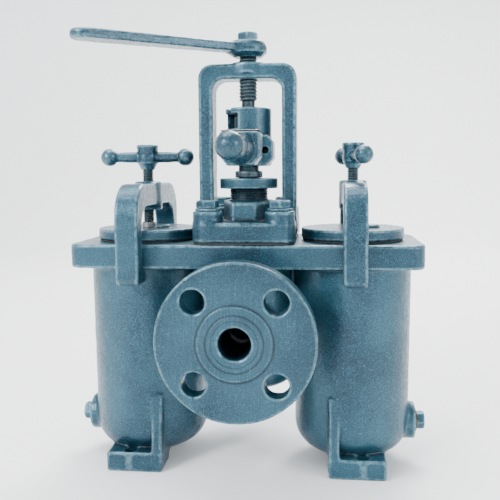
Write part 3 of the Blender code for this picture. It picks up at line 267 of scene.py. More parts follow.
class Solid:
    """Signed distances on a grid, in millimetres, negative in the material."""

    BAND = 6.0  # how far from a surface the distances are kept
    PAINTED_LIGHT_AND_WEAR_REACH = 1.5  # how far the measure for rubbed wear, painted highlight and painted shade looks round a place for an edge or a corner
    MARGIN = 4  # grid steps left free round the box
    MESH_BAND = 3  # grid steps that OpenVDB is given on each side of the surface

    def __init__(self, low, high, pitch):
        self.pitch = pitch * COARSER
        self.low = np.array(low, float) - self.MARGIN * self.pitch
        counts = np.ceil((np.array(high, float) - self.low) / self.pitch).astype(int) + self.MARGIN + 1
        self.axes = [self.low[i] + self.pitch * np.arange(counts[i]) for i in range(3)]
        self.field = np.full(counts, self.BAND, np.float32)

    def window(self, shape, blend):
        """The part of the grid that a shape can change, and its distances there."""
        reach = blend + self.BAND
        slices = tuple(
            slice(*np.searchsorted(axis, (low - reach, high + reach)))
            for axis, low, high in zip(self.axes, shape.low, shape.high)
        )
        x, y, z = (axis[part] for axis, part in zip(self.axes, slices))
        return slices, shape.distance(x[:, None, None], y[None, :, None], z[None, None, :])

    def add(self, *shapes, blend=0.0):
        for shape in shapes:
            part, distance = self.window(shape, blend)
            self.field[part] = smooth_min(self.field[part], distance, blend)
        return self

    def cut(self, *shapes, blend=0.0):
        for shape in shapes:
            part, distance = self.window(shape, blend)
            self.field[part] = -smooth_min(-self.field[part], distance, blend)
        return self

    def blurred(self):
        """The distances averaged over a small cube, which shows where the surface is an edge or a corner."""
        field = np.clip(self.field, -self.BAND, self.BAND)
        n = max(1, round(self.PAINTED_LIGHT_AND_WEAR_REACH / self.pitch))
        for axis in range(3):
            padding = [(0, 0)] * 3
            padding[axis] = (n + 1, n)
            total = np.cumsum(np.pad(field, padding, mode="edge"), axis=axis, dtype=np.float64)
            count = field.shape[axis]
            upper = np.take(total, range(2 * n + 1, 2 * n + 1 + count), axis=axis)
            lower = np.take(total, range(count), axis=axis)
            field = ((upper - lower) / (2 * n + 1)).astype(np.float32)
        return field

    def sampled(self, field, places):
        """A field's values at places given in grid steps."""
        base = np.clip(places.astype(int), 0, np.array(field.shape) - 2)
        share = places - base
        value = 0
        for corner in np.ndindex(2, 2, 2):
            weight = np.prod(np.where(corner, share, 1 - share), axis=1)
            value = value + weight * field[tuple((base + corner).T)]
        return value

    def mesh(self, name, unevenness=0.0):
        band = self.MESH_BAND * self.pitch
        grid = openvdb.FloatGrid(band)
        grid.copyFromArray(np.clip(self.field, -band, band))
        places, quads = grid.convertToQuads(0.0)
        # positive on convex edges, which get rubbed wear and a painted highlight; negative in corners and
        # hollows, which get painted shade
        wear_and_painted_light = self.sampled(self.blurred() - np.clip(self.field, -self.BAND, self.BAND), places)
        points = self.low + places * self.pitch
        a, b, c, d = (points[quads[:, i]] for i in range(4))
        normals = np.cross(c - a, d - b)
        if np.einsum("ij,ij->", (a + b + c + d) / 4, normals) < 0:
            quads = quads[:, ::-1]
        made = bpy.data.meshes.new(name)
        made.from_pydata(points * MM, [], quads.tolist())
        # this attribute drives rubbed wear, painted highlight and painted shade in the enamel
        attribute = made.attributes.new("wear_and_painted_light", "FLOAT", "POINT")
        attribute.data.foreach_set("value", (wear_and_painted_light / self.PAINTED_LIGHT_AND_WEAR_REACH).astype(np.float32))
        made.shade_smooth()
        if unevenness:
            roughen(made, unevenness)
        return made


WAVES = 14
WAVE_LENGTHS = (7, 26)


def roughen(mesh, amount):
    """Moves the points of a casting along their normals, in slow waves like those a sand mould leaves."""
    rng = np.random.default_rng(11)
    points = np.empty(len(mesh.vertices) * 3, np.float32)
    normals = np.empty_like(points)
    mesh.vertices.foreach_get("co", points)
    mesh.vertices.foreach_get("normal", normals)
    points, normals = points.reshape(-1, 3), normals.reshape(-1, 3)
    height = np.zeros(len(points))
    for _ in range(WAVES):
        direction = rng.normal(size=3)
        direction *= 2 * math.pi / (rng.uniform(*WAVE_LENGTHS) * MM) / np.linalg.norm(direction)
        height += np.sin(points @ direction + rng.uniform(0, 2 * math.pi))
    points += normals * (height / 5 * amount * MM)[:, None]
    mesh.vertices.foreach_set("co", points.ravel())
    mesh.update()


# Outlines


def arc(centre, radius, first, last, steps):
    """Points from one angle to another, in degrees."""
    angles = [math.radians(first + (last - first) * i / steps) for i in range(steps + 1)]
    return [(centre[0] + radius * math.cos(a), centre[1] + radius * math.sin(a)) for a in angles]


def filleted(corners, steps=8):
    """An outline through corners (u, v, radius), each rounded to its radius."""
    points = []
    for i, (x, y, radius) in enumerate(corners):
        here = Vector((x, y))
        if radius <= 0:
            points.append((x, y))
            continue
        before = (Vector(corners[i - 1][:2]) - here).normalized()
        after = (Vector(corners[(i + 1) % len(corners)][:2]) - here).normalized()
        half = before.angle(after) / 2
        centre = here + (before + after).normalized() * radius / math.sin(half)
        first = here + before * radius / math.tan(half) - centre
        last = here + after * radius / math.tan(half) - centre
        start = math.atan2(first.y, first.x)
        sweep = math.remainder(math.atan2(last.y, last.x) - start, 2 * math.pi)
        points += arc(centre, radius, math.degrees(start), math.degrees(start + sweep), steps)
    return points


def rectangle(width, depth, radius):
    x, y = width / 2, depth / 2
    return filleted([(-x, -y, radius), (x, -y, radius), (x, y, radius), (-x, y, radius)])


def hexagon(centre, across_flats, turn=0.0):
    reach = across_flats / 2 / math.cos(math.pi / 6)
    return arc(centre, reach, turn, turn + 300, 5)


# Materials


class Graph:
    """Short names for the nodes of one material."""

    def __init__(self, name):
        self.material = bpy.data.materials.new(name)
        self.material.use_nodes = True
        self.nodes = self.material.node_tree.nodes
        self.links = self.material.node_tree.links
        self.shader = self.nodes["Principled BSDF"]
        self.place = self.nodes.new("ShaderNodeTexCoord").outputs["Object"]

    def put(self, value, socket):
        if isinstance(value, bpy.types.NodeSocket):
            self.links.new(value, socket)
        else:
            socket.default_value = value

    def noise(self, scale, detail=2.0, roughness=0.5, distortion=0.0, place=None):
        node = self.nodes.new("ShaderNodeTexNoise")
        self.put(place or self.place, node.inputs["Vector"])
        node.inputs["Scale"].default_value = scale
        node.inputs["Detail"].default_value = detail
        node.inputs["Roughness"].default_value = roughness
        node.inputs["Distortion"].default_value = distortion
        return node.outputs["Fac"]

    def cells(self, scale, smoothness=1.0):
        node = self.nodes.new("ShaderNodeTexVoronoi")
        node.feature = "SMOOTH_F1"
        self.put(self.place, node.inputs["Vector"])
        node.inputs["Scale"].default_value = scale
        node.inputs["Smoothness"].default_value = smoothness
        return node.outputs["Distance"]

    def attribute(self, name):
        node = self.nodes.new("ShaderNodeAttribute")
        node.attribute_name = name
        return node.outputs["Fac"]

    def stretched(self, x, y, z):
        node = self.nodes.new("ShaderNodeMapping")
        self.put(self.place, node.inputs["Vector"])
        node.inputs["Scale"].default_value = (x, y, z)
        return node.outputs["Vector"]

    def coordinate(self, axis):
        node = self.nodes.new("ShaderNodeSeparateXYZ")
        self.put(self.place, node.inputs["Vector"])
        return node.outputs[axis]

    def ranged(self, value, low, high, to_low=0.0, to_high=1.0):
        node = self.nodes.new("ShaderNodeMapRange")
        node.interpolation_type = "SMOOTHSTEP"
        for socket, each in zip(node.inputs, (value, low, high, to_low, to_high)):
            self.put(each, socket)
        return node.outputs["Result"]

    def math(self, operation, *values):
        node = self.nodes.new("ShaderNodeMath")
        node.operation = operation
        for socket, each in zip(node.inputs, values):
            self.put(each, socket)
        return node.outputs["Value"]

    def mix(self, share, a, b):
        node = self.nodes.new("ShaderNodeMix")
        node.data_type = "RGBA"
        for name, each in (("Factor_Float", share), ("A_Color", a), ("B_Color", b)):
            socket = next(s for s in node.inputs if s.identifier == name)
            self.put((*each, 1.0) if isinstance(each, tuple) else each, socket)
        return next(s for s in node.outputs if s.identifier == "Result_Color")

    def bump(self, height, distance, strength=1.0):
        node = self.nodes.new("ShaderNodeBump")
        node.inputs["Strength"].default_value = strength
        node.inputs["Distance"].default_value = distance
        self.put(height, node.inputs["Height"])
        self.put(node.outputs["Normal"], self.shader.inputs["Normal"])

    def set(self, **values):
        for name, value in values.items():
            socket = self.shader.inputs[name.replace("_", " ")]
            self.put((*value, 1.0) if isinstance(value, tuple) and len(value) == 3 else value, socket)
        return self.material


ENAMEL = (0.014, 0.080, 0.126)
ENAMEL_DARK = (0.003, 0.013, 0.024)
ENAMEL_LIGHT = (0.066, 0.215, 0.290)
# a darker copy of the enamel for the gland, which sits inside the yoke under its bar: painted shade
ENAMEL_PAINTED_SHADE = (0.013, 0.070, 0.108)
# pale colour on convex edges: rubbed wear, partly a painted highlight
RUBBED_AND_HIGHLIGHT = (0.22, 0.42, 0.50)


def enamel(name, base, dark, light, gloss=0.36, wear_and_painted_light=1.0, shade=None):
    """Blue-grey hammertone enamel over cast iron: fine flake, painted shade in corners, and edges rubbed
    bright, partly real wear and partly a painted highlight.

    shade(graph) may give a share by which to darken it, and a height for the bump.
    """
    g = Graph(name)
    flake = g.noise(1150, 3, 0.7)
    mottle = g.noise(75, 4, 0.6, 0.3)
    drift = g.noise(14, 2, 0.5)
    colour = g.mix(g.ranged(flake, 0.30, 0.70), dark, base)
    colour = g.mix(g.ranged(flake, 0.52, 0.74, 0.0, 0.55), colour, light)
    speckle = g.noise(430, 3, 0.75)
    colour = g.mix(g.ranged(speckle, 0.44, 0.30, 0.0, 0.60), colour, dark)
    colour = g.mix(g.ranged(speckle, 0.58, 0.72, 0.0, 0.45), colour, light)
    colour = g.mix(g.ranged(mottle, 0.35, 0.70, 0.0, 0.28), colour, dark)
    colour = g.mix(g.ranged(drift, 0.35, 0.65, 0.0, 0.18), colour, light)
    edge = g.attribute("wear_and_painted_light")
    broken = g.math("MULTIPLY", g.ranged(edge, 0.05, 0.17), g.ranged(g.noise(260, 4, 0.65), 0.30, 0.62))
    # rubbed wear on convex edges, partly a painted highlight
    colour = g.mix(g.math("MULTIPLY", broken, 0.36 * wear_and_painted_light), colour, RUBBED_AND_HIGHLIGHT)
    # painted shade in corners and hollows
    colour = g.mix(g.ranged(edge, -0.04, -0.20, 0.0, 0.85), colour, dark)
    roughness = g.ranged(g.noise(320, 3, 0.6), 0.3, 0.7, gloss - 0.08, gloss + 0.12)
    relief = g.math("ADD", g.math("MULTIPLY", g.cells(430), 0.8), g.noise(900, 2, 0.5))
    if shade:
        darker, height = shade(g)
        colour = g.mix(darker, colour, dark)
        relief = g.math("ADD", relief, height)
    g.bump(relief, 0.00022, 0.75)
    return g.set(
        Base_Color=colour, Metallic=0.50, Roughness=roughness, Coat_Weight=0.14, Coat_Roughness=0.20
    )


def machined(name, base, dark, roughness, stretch):
    """Turned metal, with fine lines across the axis that it was turned on and oil stains."""
    g = Graph(name)
    lines = g.noise(1.0, 3, 0.7, 0.0, g.stretched(*stretch))
    stain = g.noise(90, 4, 0.6, 0.4)
    colour = g.mix(g.ranged(lines, 0.3, 0.7), dark, base)
    colour = g.mix(g.ranged(stain, 0.5, 0.75, 0.0, 0.6), colour, dark)
    g.bump(lines, 0.00008, 0.5)
    dull = g.ranged(stain, 0.3, 0.7, roughness - 0.1, roughness + 0.15)
    return g.set(Base_Color=colour, Metallic=0.9, Roughness=dull)


def sheet_stock(name, base, dark, scale):
    """Gasket sheet or braided packing."""
    g = Graph(name)
    grain = g.noise(scale, 4, 0.7)
    weave = g.cells(scale * 0.7, 0.3)
    colour = g.mix(g.ranged(grain, 0.3, 0.7), dark, base)
    g.bump(g.math("ADD", grain, weave), 0.00015, 0.8)
    return g.set(Base_Color=colour, Roughness=g.ranged(grain, 0.3, 0.7, 0.65, 0.9))


def stem_metal():
    """The plug's bronze below the gland, and the painted-over stem above it."""
    g = Graph("stem_metal")
    grain = g.noise(700, 3, 0.6)
    bronze = g.mix(g.ranged(grain, 0.3, 0.7), (0.030, 0.022, 0.014), (0.13, 0.085, 0.042))
    paint = g.mix(g.ranged(grain, 0.3, 0.7), (0.008, 0.020, 0.028), (0.03, 0.07, 0.09))
    above = g.ranged(g.coordinate("Z"), ORIGIN.z + 0.030, ORIGIN.z + 0.034)
    g.bump(grain, 0.0001, 0.5)
    return g.set(Base_Color=g.mix(above, bronze, paint), Metallic=0.7, Roughness=0.42)


def plate_finish(floor_z, top_z):
    """Etched plate: bright where it stands proud, black where it is etched away."""
    g = Graph("direction_plate")
    speck = g.noise(1500, 3, 0.7)
    bright = g.mix(g.ranged(speck, 0.35, 0.7), (0.45, 0.44, 0.42), (0.86, 0.85, 0.82))
    black = g.mix(g.ranged(speck, 0.4, 0.75), (0.002, 0.002, 0.003), (0.012, 0.012, 0.014))
    proud = g.ranged(g.coordinate("Z"), floor_z, top_z)
    g.bump(speck, 0.00004, 0.6)
    return g.set(
        Base_Color=g.mix(proud, black, bright),
        Metallic=g.math("MULTIPLY", proud, 0.55),
        Roughness=g.ranged(speck, 0.3, 0.7, 0.40, 0.6),
        Specular_IOR_Level=0.15,
    )


def flange_shade(g):
    """Painted shade in the turned rings of the flanges' raised faces, whose grooves also get a bump, painted
    reflection streaks across the faces, and painted shade down the ports.
    """
    depth = g.math("ABSOLUTE", g.math("SUBTRACT", g.coordinate("Y"), ORIGIN.y))
    on_face = g.ranged(depth, 0.1075, 0.1085)
    near = g.math("LESS_THAN", depth, 0.112)
    x, z = g.coordinate("X"), g.math("ADD", g.coordinate("Z"), FLANGE_DROP * MM - ORIGIN.z)
    radius = g.math("SQRT", g.math("ADD", g.math("MULTIPLY", x, x), g.math("MULTIPLY", z, z)))
    rings = 0.0
    # painted shade in the ring grooves; the rings also give the bump
    for place, width in FLANGE_RINGS:
        away = g.math("ABSOLUTE", g.math("SUBTRACT", radius, place))
        rings = g.math("ADD", rings, g.ranged(away, 0.0, width, 0.75, 0.0))
    # faint vertical streaks across the face: a painted reflection
    painted_reflection_streaks = g.ranged(g.noise(1.0, 2, 0.6, 0.0, g.stretched(1500, 20, 45)), 0.35, 0.7, 0.0, 0.35)
    # painted shade down the port's bore
    inside = g.math("MULTIPLY", g.math("LESS_THAN", radius, 0.0128), g.ranged(depth, 0.108, 0.100))
    face = g.math("MULTIPLY", on_face, near)
    darker = g.math("ADD", g.math("MULTIPLY", g.math("ADD", rings, painted_reflection_streaks), face), inside)
    return g.math("MINIMUM", darker, 1.0), g.math("MULTIPLY", g.math("MULTIPLY", rings, face), -3.0)


def gland_shade(g):
    """Painted shade on the thread under the gland's disc."""
    above, below = (ORIGIN.z + (GLAND_TOP - drop) * MM for drop in (8.6, 9.4))
    # painted shade, darkening the thread below the disc
    return g.ranged(g.coordinate("Z"), above, below, 0.0, 0.8), 0.0


GLAND_TOP = span("gland_nut", 2)[1]
FLANGE_DROP = 69.3
FLANGE_RINGS = ((0.0298, 0.0015), (0.0222, 0.0013), (0.0180, 0.0005))  # radius and half width, in metres
PAINT = enamel("enamel", ENAMEL, ENAMEL_DARK, ENAMEL_LIGHT)
PAINT_BODY = enamel("enamel_body", ENAMEL, ENAMEL_DARK, ENAMEL_LIGHT, shade=flange_shade)
PAINT_GLAND = enamel("enamel_gland", ENAMEL_PAINTED_SHADE, ENAMEL_DARK, ENAMEL_LIGHT, shade=gland_shade)
PAINT_SMOOTH = enamel(
    "enamel_handled", (0.011, 0.064, 0.102), ENAMEL_DARK, (0.052, 0.175, 0.24), gloss=0.30
)
WORN = enamel(
    "worn_enamel", (0.022, 0.050, 0.062), (0.006, 0.012, 0.016), (0.08, 0.12, 0.13), gloss=0.42, wear_and_painted_light=0.6
)
STEEL = machined("steel", (0.46, 0.48, 0.49), (0.16, 0.17, 0.17), 0.36, (60, 60, 3000))
STAINLESS = machined("basket_steel", (0.60, 0.61, 0.60), (0.30, 0.30, 0.29), 0.30, (60, 60, 2200))
BRONZE = machined("bronze", (0.26, 0.17, 0.08), (0.06, 0.04, 0.02), 0.42, (60, 60, 2600))
COPPER = machined("copper", (0.78, 0.40, 0.25), (0.36, 0.15, 0.08), 0.28, (900, 900, 900))
BRONZE_OILED = machined("bronze_oiled", (0.045, 0.032, 0.020), (0.012, 0.009, 0.006), 0.40, (60, 60, 2600))
GASKET = sheet_stock("gasket", (0.035, 0.035, 0.034), (0.012, 0.012, 0.012), 900)
PACKING = sheet_stock("packing", (0.27, 0.24, 0.17), (0.08, 0.07, 0.05), 700)


# Pieces


def add_piece(name, mesh, material, body, nodes, turn=0.0, pivot=(0, 0)):
    """Puts a mesh in the scene, swung about a vertical line in the strainer's frame, to ride on a body."""
    obj = bpy.data.objects.new(name, mesh)
    bpy.context.scene.collection.objects.link(obj)
    place = Vector((pivot[0] * MM, pivot[1] * MM, 0))
    mesh.transform(
        Matrix.Translation(ORIGIN + place) @ Matrix.Rotation(turn, 4, "Z") @ Matrix.Translation(-place)
    )
    mesh.materials.append(material)
    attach(obj, body)
    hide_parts(*nodes)


def round_grid(centre, reach, low, high, pitch):
    """An empty solid round a vertical line."""
    x, y = centre
    return Solid((x - reach, y - reach, low), (x + reach, y + reach, high), pitch)


SIDES = {"left": -1, "right": 1}
ENDS = (-1, 1)
VESSEL_X = middle("cover_right", 0)
STEM_HOLE = 9.3
SOFT = 0.8  # the usual rounding of a hole's mouth

# Body casting
PLATE_DEPTH = 112
PLATE_THICKNESS = 20
PLATE_CORNER = 14
INSIDE_PLATE = -10  # where the shapes under the plate begin
HOUSING_RADIUS = 40
HOUSING_CORNER = 12
HOUSING_BASE = -128
VESSEL_RADIUS = 51
VESSEL_BASE_RADIUS = 50
VESSEL_CORNER = 24
VESSEL_WALL = 6
VESSEL_DEPTH = 186
MOUTH_RADIUS = 38.5
SEAT_RADIUS = 33
SEAT_DEPTH = 50
SEAT_LEDGE = 6
ROOM_CORNER = 18
NECK_RADIUS = 22.5
FLANGE_RADIUS = 62.5
FLANGE_BACK, FLANGE_FRONT, FLANGE_FACE = 92, 109, 110
RAISED_RADIUS = 29.5
FLANGE_HOLE_RADIUS = 9.5
FLANGE_HOLE_OFFSET = 31.8
PORT_RADIUS = 12.5
PORT_DEPTH = 56
PASSAGE_RADIUS = 11
UPPER_DROP, LOWER_DROP = 39, 98
DRAIN_DROP = -middle("drain_plug_right", 2)
DRAIN_BOSS_RADIUS = 16
DRAIN_HOLE_RADIUS = 6.3
FLOOR = span("strainer_body", 2)[0]
FOOT_WIDTH = 48
FOOT_NEAR = VESSEL_X + 4 - FOOT_WIDTH / 2
FOOT_START, FOOT_END = 26, 56
FOOT_TOP = FLOOR + 17
FOOT_HOLE_RADIUS = 5.5
FOOT_HOLE_PLACE = (VESSEL_X + 8.5, 48)
RIB_THICKNESS = 9
RIB_TOP = FLOOR + 66
PLUG_BORE = [(0, 40), (30.3, 40), (30.3, -8), (26.3, -118), (26.3, -121), (0, -121)]
BOLT_PLACES = [(middle(f"bonnet_bolt_{i}", 0), middle(f"bonnet_bolt_{i}", 1)) for i in range(1, 5)]


def vessel_profile():
    corner = VESSEL_CORNER
    foot = arc((VESSEL_BASE_RADIUS - corner, corner - VESSEL_DEPTH), corner, 0, -90, 14)
    return [(0, INSIDE_PLATE), (VESSEL_RADIUS, INSIDE_PLATE), *foot, (0, -VESSEL_DEPTH)]


def vessel_room_profile():
    """The mouth, the ledge for the basket and the lower chamber."""
    radius = VESSEL_BASE_RADIUS - VESSEL_WALL
    base = VESSEL_WALL - VESSEL_DEPTH
    foot = arc((radius - ROOM_CORNER, base + ROOM_CORNER), ROOM_CORNER, 0, -90, 10)
    under_seat = -SEAT_DEPTH - SEAT_LEDGE
    return [
        (0, 10), (MOUTH_RADIUS, 10), (MOUTH_RADIUS, -SEAT_DEPTH), (SEAT_RADIUS, -SEAT_DEPTH),
        (SEAT_RADIUS, under_seat), (radius, under_seat), *foot, (0, base),
    ]


def housing_profile():
    corner = HOUSING_CORNER
    foot = arc((HOUSING_RADIUS - corner, HOUSING_BASE + corner), corner, 0, -90, 8)
    return [(0, INSIDE_PLATE), (HOUSING_RADIUS, INSIDE_PLATE), *foot, (0, HOUSING_BASE)]


def flange_shapes(end):
    """The neck, the flange and its raised face."""
    return [
        rod(1, (0, -FLANGE_DROP), NECK_RADIUS, (end * 25, end * 100)),
        rod(1, (0, -FLANGE_DROP), FLANGE_RADIUS, (end * FLANGE_BACK, end * FLANGE_FRONT), 1.3),
        rod(1, (0, -FLANGE_DROP), RAISED_RADIUS, (end * 100, end * FLANGE_FACE), 0.6),
    ]


def foot_shapes(side, end):
    """A foot's pad and the rib on its inner edge."""
    near, far = side * FOOT_NEAR, side * (FOOT_NEAR + FOOT_WIDTH)
    pad = bar((near, end * FOOT_START, FLOOR), (far, end * FOOT_END, FOOT_TOP), 1.6)
    root, tip, shoulder = FOOT_START - 2, FOOT_END - 0.4, 48.2
    outline = [
        (end * root, FLOOR + 6), (end * tip, FLOOR + 6), (end * tip, FOOT_TOP), (end * shoulder, RIB_TOP),
        (end * root, RIB_TOP),
    ]
    return pad, extruded(0, outline, (near, side * (FOOT_NEAR + RIB_THICKNESS)), 1.8)


def body_casting():
    low, high = corners("strainer_body")
    solid = Solid(low, high, 1.4)
    for side in SIDES.values():
        solid.add(turned(2, (side * VESSEL_X, 0), vessel_profile()))
    solid.add(turned(2, (0, 0), housing_profile()), blend=7)
    for end in ENDS:
        neck, disc, face = flange_shapes(end)
        solid.add(neck, blend=7)
        solid.add(disc, blend=5)
        solid.add(face)
    plate = rectangle(2 * high[0], PLATE_DEPTH, PLATE_CORNER)
    solid.add(extruded(2, plate, (-PLATE_THICKNESS, 0), 1.6), blend=4)
    for side in SIDES.values():
        boss = (side * (VESSEL_X + 40), side * (VESSEL_X + 56))
        solid.add(rod(0, (0, -DRAIN_DROP), DRAIN_BOSS_RADIUS, boss, 1.2), blend=3)
        for end in ENDS:
            solid.add(*foot_shapes(side, end), blend=3)
    # the pads' undersides stay flat on the floor
    solid.cut(bar((-200, -200, FLOOR - 40), (200, 200, FLOOR)))

    for side in SIDES.values():
        solid.cut(turned(2, (side * VESSEL_X, 0), vessel_room_profile()))
        drain = (side * (VESSEL_X + 36), side * (VESSEL_X + 70))
        solid.cut(rod(0, (0, -DRAIN_DROP), DRAIN_HOLE_RADIUS, drain))
        for end in ENDS:
            place = (side * FOOT_HOLE_PLACE[0], end * FOOT_HOLE_PLACE[1])
            solid.cut(rod(2, place, FOOT_HOLE_RADIUS, (FLOOR - 10, FOOT_TOP + 0.6)), blend=1.0)
    solid.cut(turned(2, (0, 0), PLUG_BORE))
    for drop, inner in ((UPPER_DROP, MOUTH_RADIUS), (LOWER_DROP, 44)):
        solid.cut(rod(0, (0, -drop), PASSAGE_RADIUS, (inner - VESSEL_X, VESSEL_X - inner)))
    for end, drop in zip(ENDS, (UPPER_DROP, LOWER_DROP)):
        solid.cut(rod(1, (0, -FLANGE_DROP), PORT_RADIUS, (end * PORT_DEPTH, end * 130)), blend=1.0)
        solid.cut(slanted_rod((0, end * 62.5, -FLANGE_DROP), (0, end * 21, -drop), PASSAGE_RADIUS))
        for x in ENDS:
            for z in ENDS:
                centre = (x * FLANGE_HOLE_OFFSET, z * FLANGE_HOLE_OFFSET - FLANGE_DROP)
                solid.cut(rod(1, centre, FLANGE_HOLE_RADIUS, (end * 84, end * 130)), blend=SOFT)
    for place in BOLT_PLACES:
        solid.cut(rod(2, place, 5.3, (-15, 20)))
    return solid.mesh("body_casting", 0.10)


def ring_of(axis, centre, section):
    """A ring with this section of (radius, place along the axis)."""
    reach = max(r for r, _ in section)
    heights = [h for _, h in section]

    def distance(x, y, z):
        u, v, w = across(axis, x, y, z)
        return outline_distance(section, np.hypot(u - centre[0], v - centre[1]), w)

    return about(axis, centre, reach, heights, distance)


# Bonnet, yoke and gland
BONNET_BASE, LUG_TOP = span("bonnet_yoke", 2)[0], span("bonnet_washer_1", 2)[0] - 0.3
BONNET_TOP = BONNET_BASE + 16.5
BONNET_HALF = span("bonnet_yoke", 0)[1] - 0.6
BONNET_DEPTH = 110.6
BONNET_CORNER = 13
PAD_RADIUS = 12.4
STUFFING_RADIUS = 22
STUFFING_TOP = 34.5
SLEEVE_ROOM = 17.3
LUG_HALF = [(11, 42, 4), (20.5, 10, 3)]  # a gland lug's tip and root: half width, reach and rounding
NUB_RADIUS = 3.6
YOKE_TOP = span("bonnet_yoke", 2)[1] - 1.0
YOKE_LEG = 12.5
YOKE_BAR = 13
YOKE_DEPTH = 26
YOKE_ROOT = 8
YOKE_BOSS_RADIUS = 15
GLAND_RADIUS = 25.5
GLAND_SLEEVE = 17
GLAND_DISC = 9
COLLAR_RADIUS = 12.2


def bonnet_casting():
    solid = Solid(*corners("bonnet_yoke"), 0.95)
    half = BONNET_HALF
    solid.add(extruded(2, rectangle(2 * half, BONNET_DEPTH, BONNET_CORNER), (-6, BONNET_TOP), 3.2))
    for place in BOLT_PLACES:
        solid.add(rod(2, place, PAD_RADIUS, (0, LUG_TOP), 1.4), blend=3)
    solid.add(post(STUFFING_RADIUS, (5, STUFFING_TOP), 1.2), blend=3)
    (tx, ty, tr), (rx, ry, rr) = LUG_HALF
    lugs = filleted(
        [(-tx, -ty, tr), (tx, -ty, tr), (rx, -ry, rr), (rx, ry, rr),
         (tx, ty, tr), (-tx, ty, tr), (-rx, ry, rr), (-rx, -ry, rr)], 5)
    solid.add(extruded(2, lugs, (5, STUFFING_TOP - 0.3), 2.2), blend=3)
    solid.add(rod(2, (1.5, 36.5), NUB_RADIUS, (30, 35.6), 1.2), blend=1.6)
    inside, bar_base = half - YOKE_LEG, YOKE_TOP - YOKE_BAR
    arch = filleted(
        [(-half, YOKE_ROOT, 0), (-half, YOKE_TOP, 12), (half, YOKE_TOP, 12), (half, YOKE_ROOT, 0),
         (inside, YOKE_ROOT, 0), (inside, bar_base, 10), (-inside, bar_base, 10), (-inside, YOKE_ROOT, 0)],
        10,
    )
    solid.add(extruded(1, arch, (-YOKE_DEPTH / 2, YOKE_DEPTH / 2), 2.6), blend=4.5)
    solid.add(post(YOKE_BOSS_RADIUS, (YOKE_TOP - 8, YOKE_TOP + 1), SOFT), blend=2)
    solid.cut(bar((-90, -90, -40), (90, 90, BONNET_BASE)))
    solid.cut(post(SLEEVE_ROOM, (5.5, 60)), blend=SOFT)
    solid.cut(post(STEM_HOLE, (-10, 20)))
    solid.cut(post(THREAD_RADIUS + 0.3, (YOKE_TOP - 30, YOKE_TOP + 10)), blend=SOFT)
    for place in BOLT_PLACES:
        solid.cut(rod(2, place, 5.5, (-10, 60)))
    return solid.mesh("bonnet_casting", 0.10)


def gland():
    disc = GLAND_TOP - GLAND_DISC
    base = span("gland_nut", 2)[0]
    solid = round_grid((0, 0), GLAND_RADIUS, base, GLAND_TOP, 0.5)
    solid.add(threaded((0, 0), GLAND_SLEEVE, (base, disc + 1), 2.0, 0.9))
    solid.add(post(GLAND_RADIUS, (disc, GLAND_TOP), 1.1), blend=0.6)
    solid.cut(post(STEM_HOLE, (0, 80)), blend=SOFT)
    return solid.mesh("gland", 0.05)


def collar():
    low, high = span("stem_collar", 2)
    solid = round_grid((0, 0), COLLAR_RADIUS, low, high, 0.4)
    solid.add(post(COLLAR_RADIUS, (low, high), 1.4))
    solid.cut(post(STEM_HOLE, (low - 5, high + 5)), blend=SOFT)
    return solid.mesh("collar", 0.05)


# Stem head and changeover handle
HEAD_BASE, HEAD_TOP = span("stem_head", 2)
HEAD_RADIUS = 20
HANDLE_AXIS = middle("changeover_handle", 2)
EAR_REACH = 22.5
EAR_HALF = 12.75
EAR_CUT = 5.5
EAR_HOLE_PLACE = 15.75
SPIGOT_RADIUS = 6.5
SLOT_DIRECTION = math.radians(207)
SLOT_ROOF = 4.7
NECK_LENGTH, BLOCK_END = 41, 66
BLOCK_HALF_WIDTH, BLOCK_HALF_HEIGHT = 16, 13.25
GRIP_BALL = 10.7
RIVET_HOLE = 1.3


def slot(radius, low, high):
    """A round-ended slot from the axis out through one side."""
    way = bar((0, -radius, low), (44, radius, high))
    return [post(radius, (low, high)), turned_about(way, SLOT_DIRECTION)]


def stem_head():
    solid = Solid((-HEAD_RADIUS, -HEAD_RADIUS, HEAD_BASE), (EAR_REACH, HEAD_RADIUS, HEAD_TOP), 0.5)
    solid.add(post(HEAD_RADIUS, (HEAD_BASE, HEAD_TOP), 1.3))
    low, high, cut = HANDLE_AXIS - EAR_HALF, HANDLE_AXIS + EAR_HALF, EAR_CUT
    ear = filleted(
        [(0, low, 0), (EAR_REACH - cut, low, 1.5), (EAR_REACH, low + cut, 1.5),
         (EAR_REACH, high - cut, 1.5), (EAR_REACH - cut, high, 1.5), (0, high, 0)], 4)
    solid.add(extruded(1, ear, (-17, 10), 1.3), blend=2)
    solid.cut(post(STEM_HOLE, (HEAD_BASE - 9, HEAD_BASE + 25.5)), blend=SOFT)
    solid.cut(rod(1, (EAR_HOLE_PLACE, HANDLE_AXIS), 3, (-40, 6)), blend=SOFT)
    solid.cut(rod(1, (0, HANDLE_AXIS), SPIGOT_RADIUS + 0.3, (-40, -10.5)))
    solid.cut(*slot(12.8, HEAD_TOP - 17.7, HEAD_TOP - SLOT_ROOF), blend=0.6)
    solid.cut(*slot(6.3, HEAD_TOP - 17.4, HEAD_TOP + 20), blend=0.6)
    return solid.mesh("stem_head", 0.06)


def rivet_place(side):
    return middle(f"plate_rivet_{side}", 0), middle(f"plate_rivet_{side}", 1)


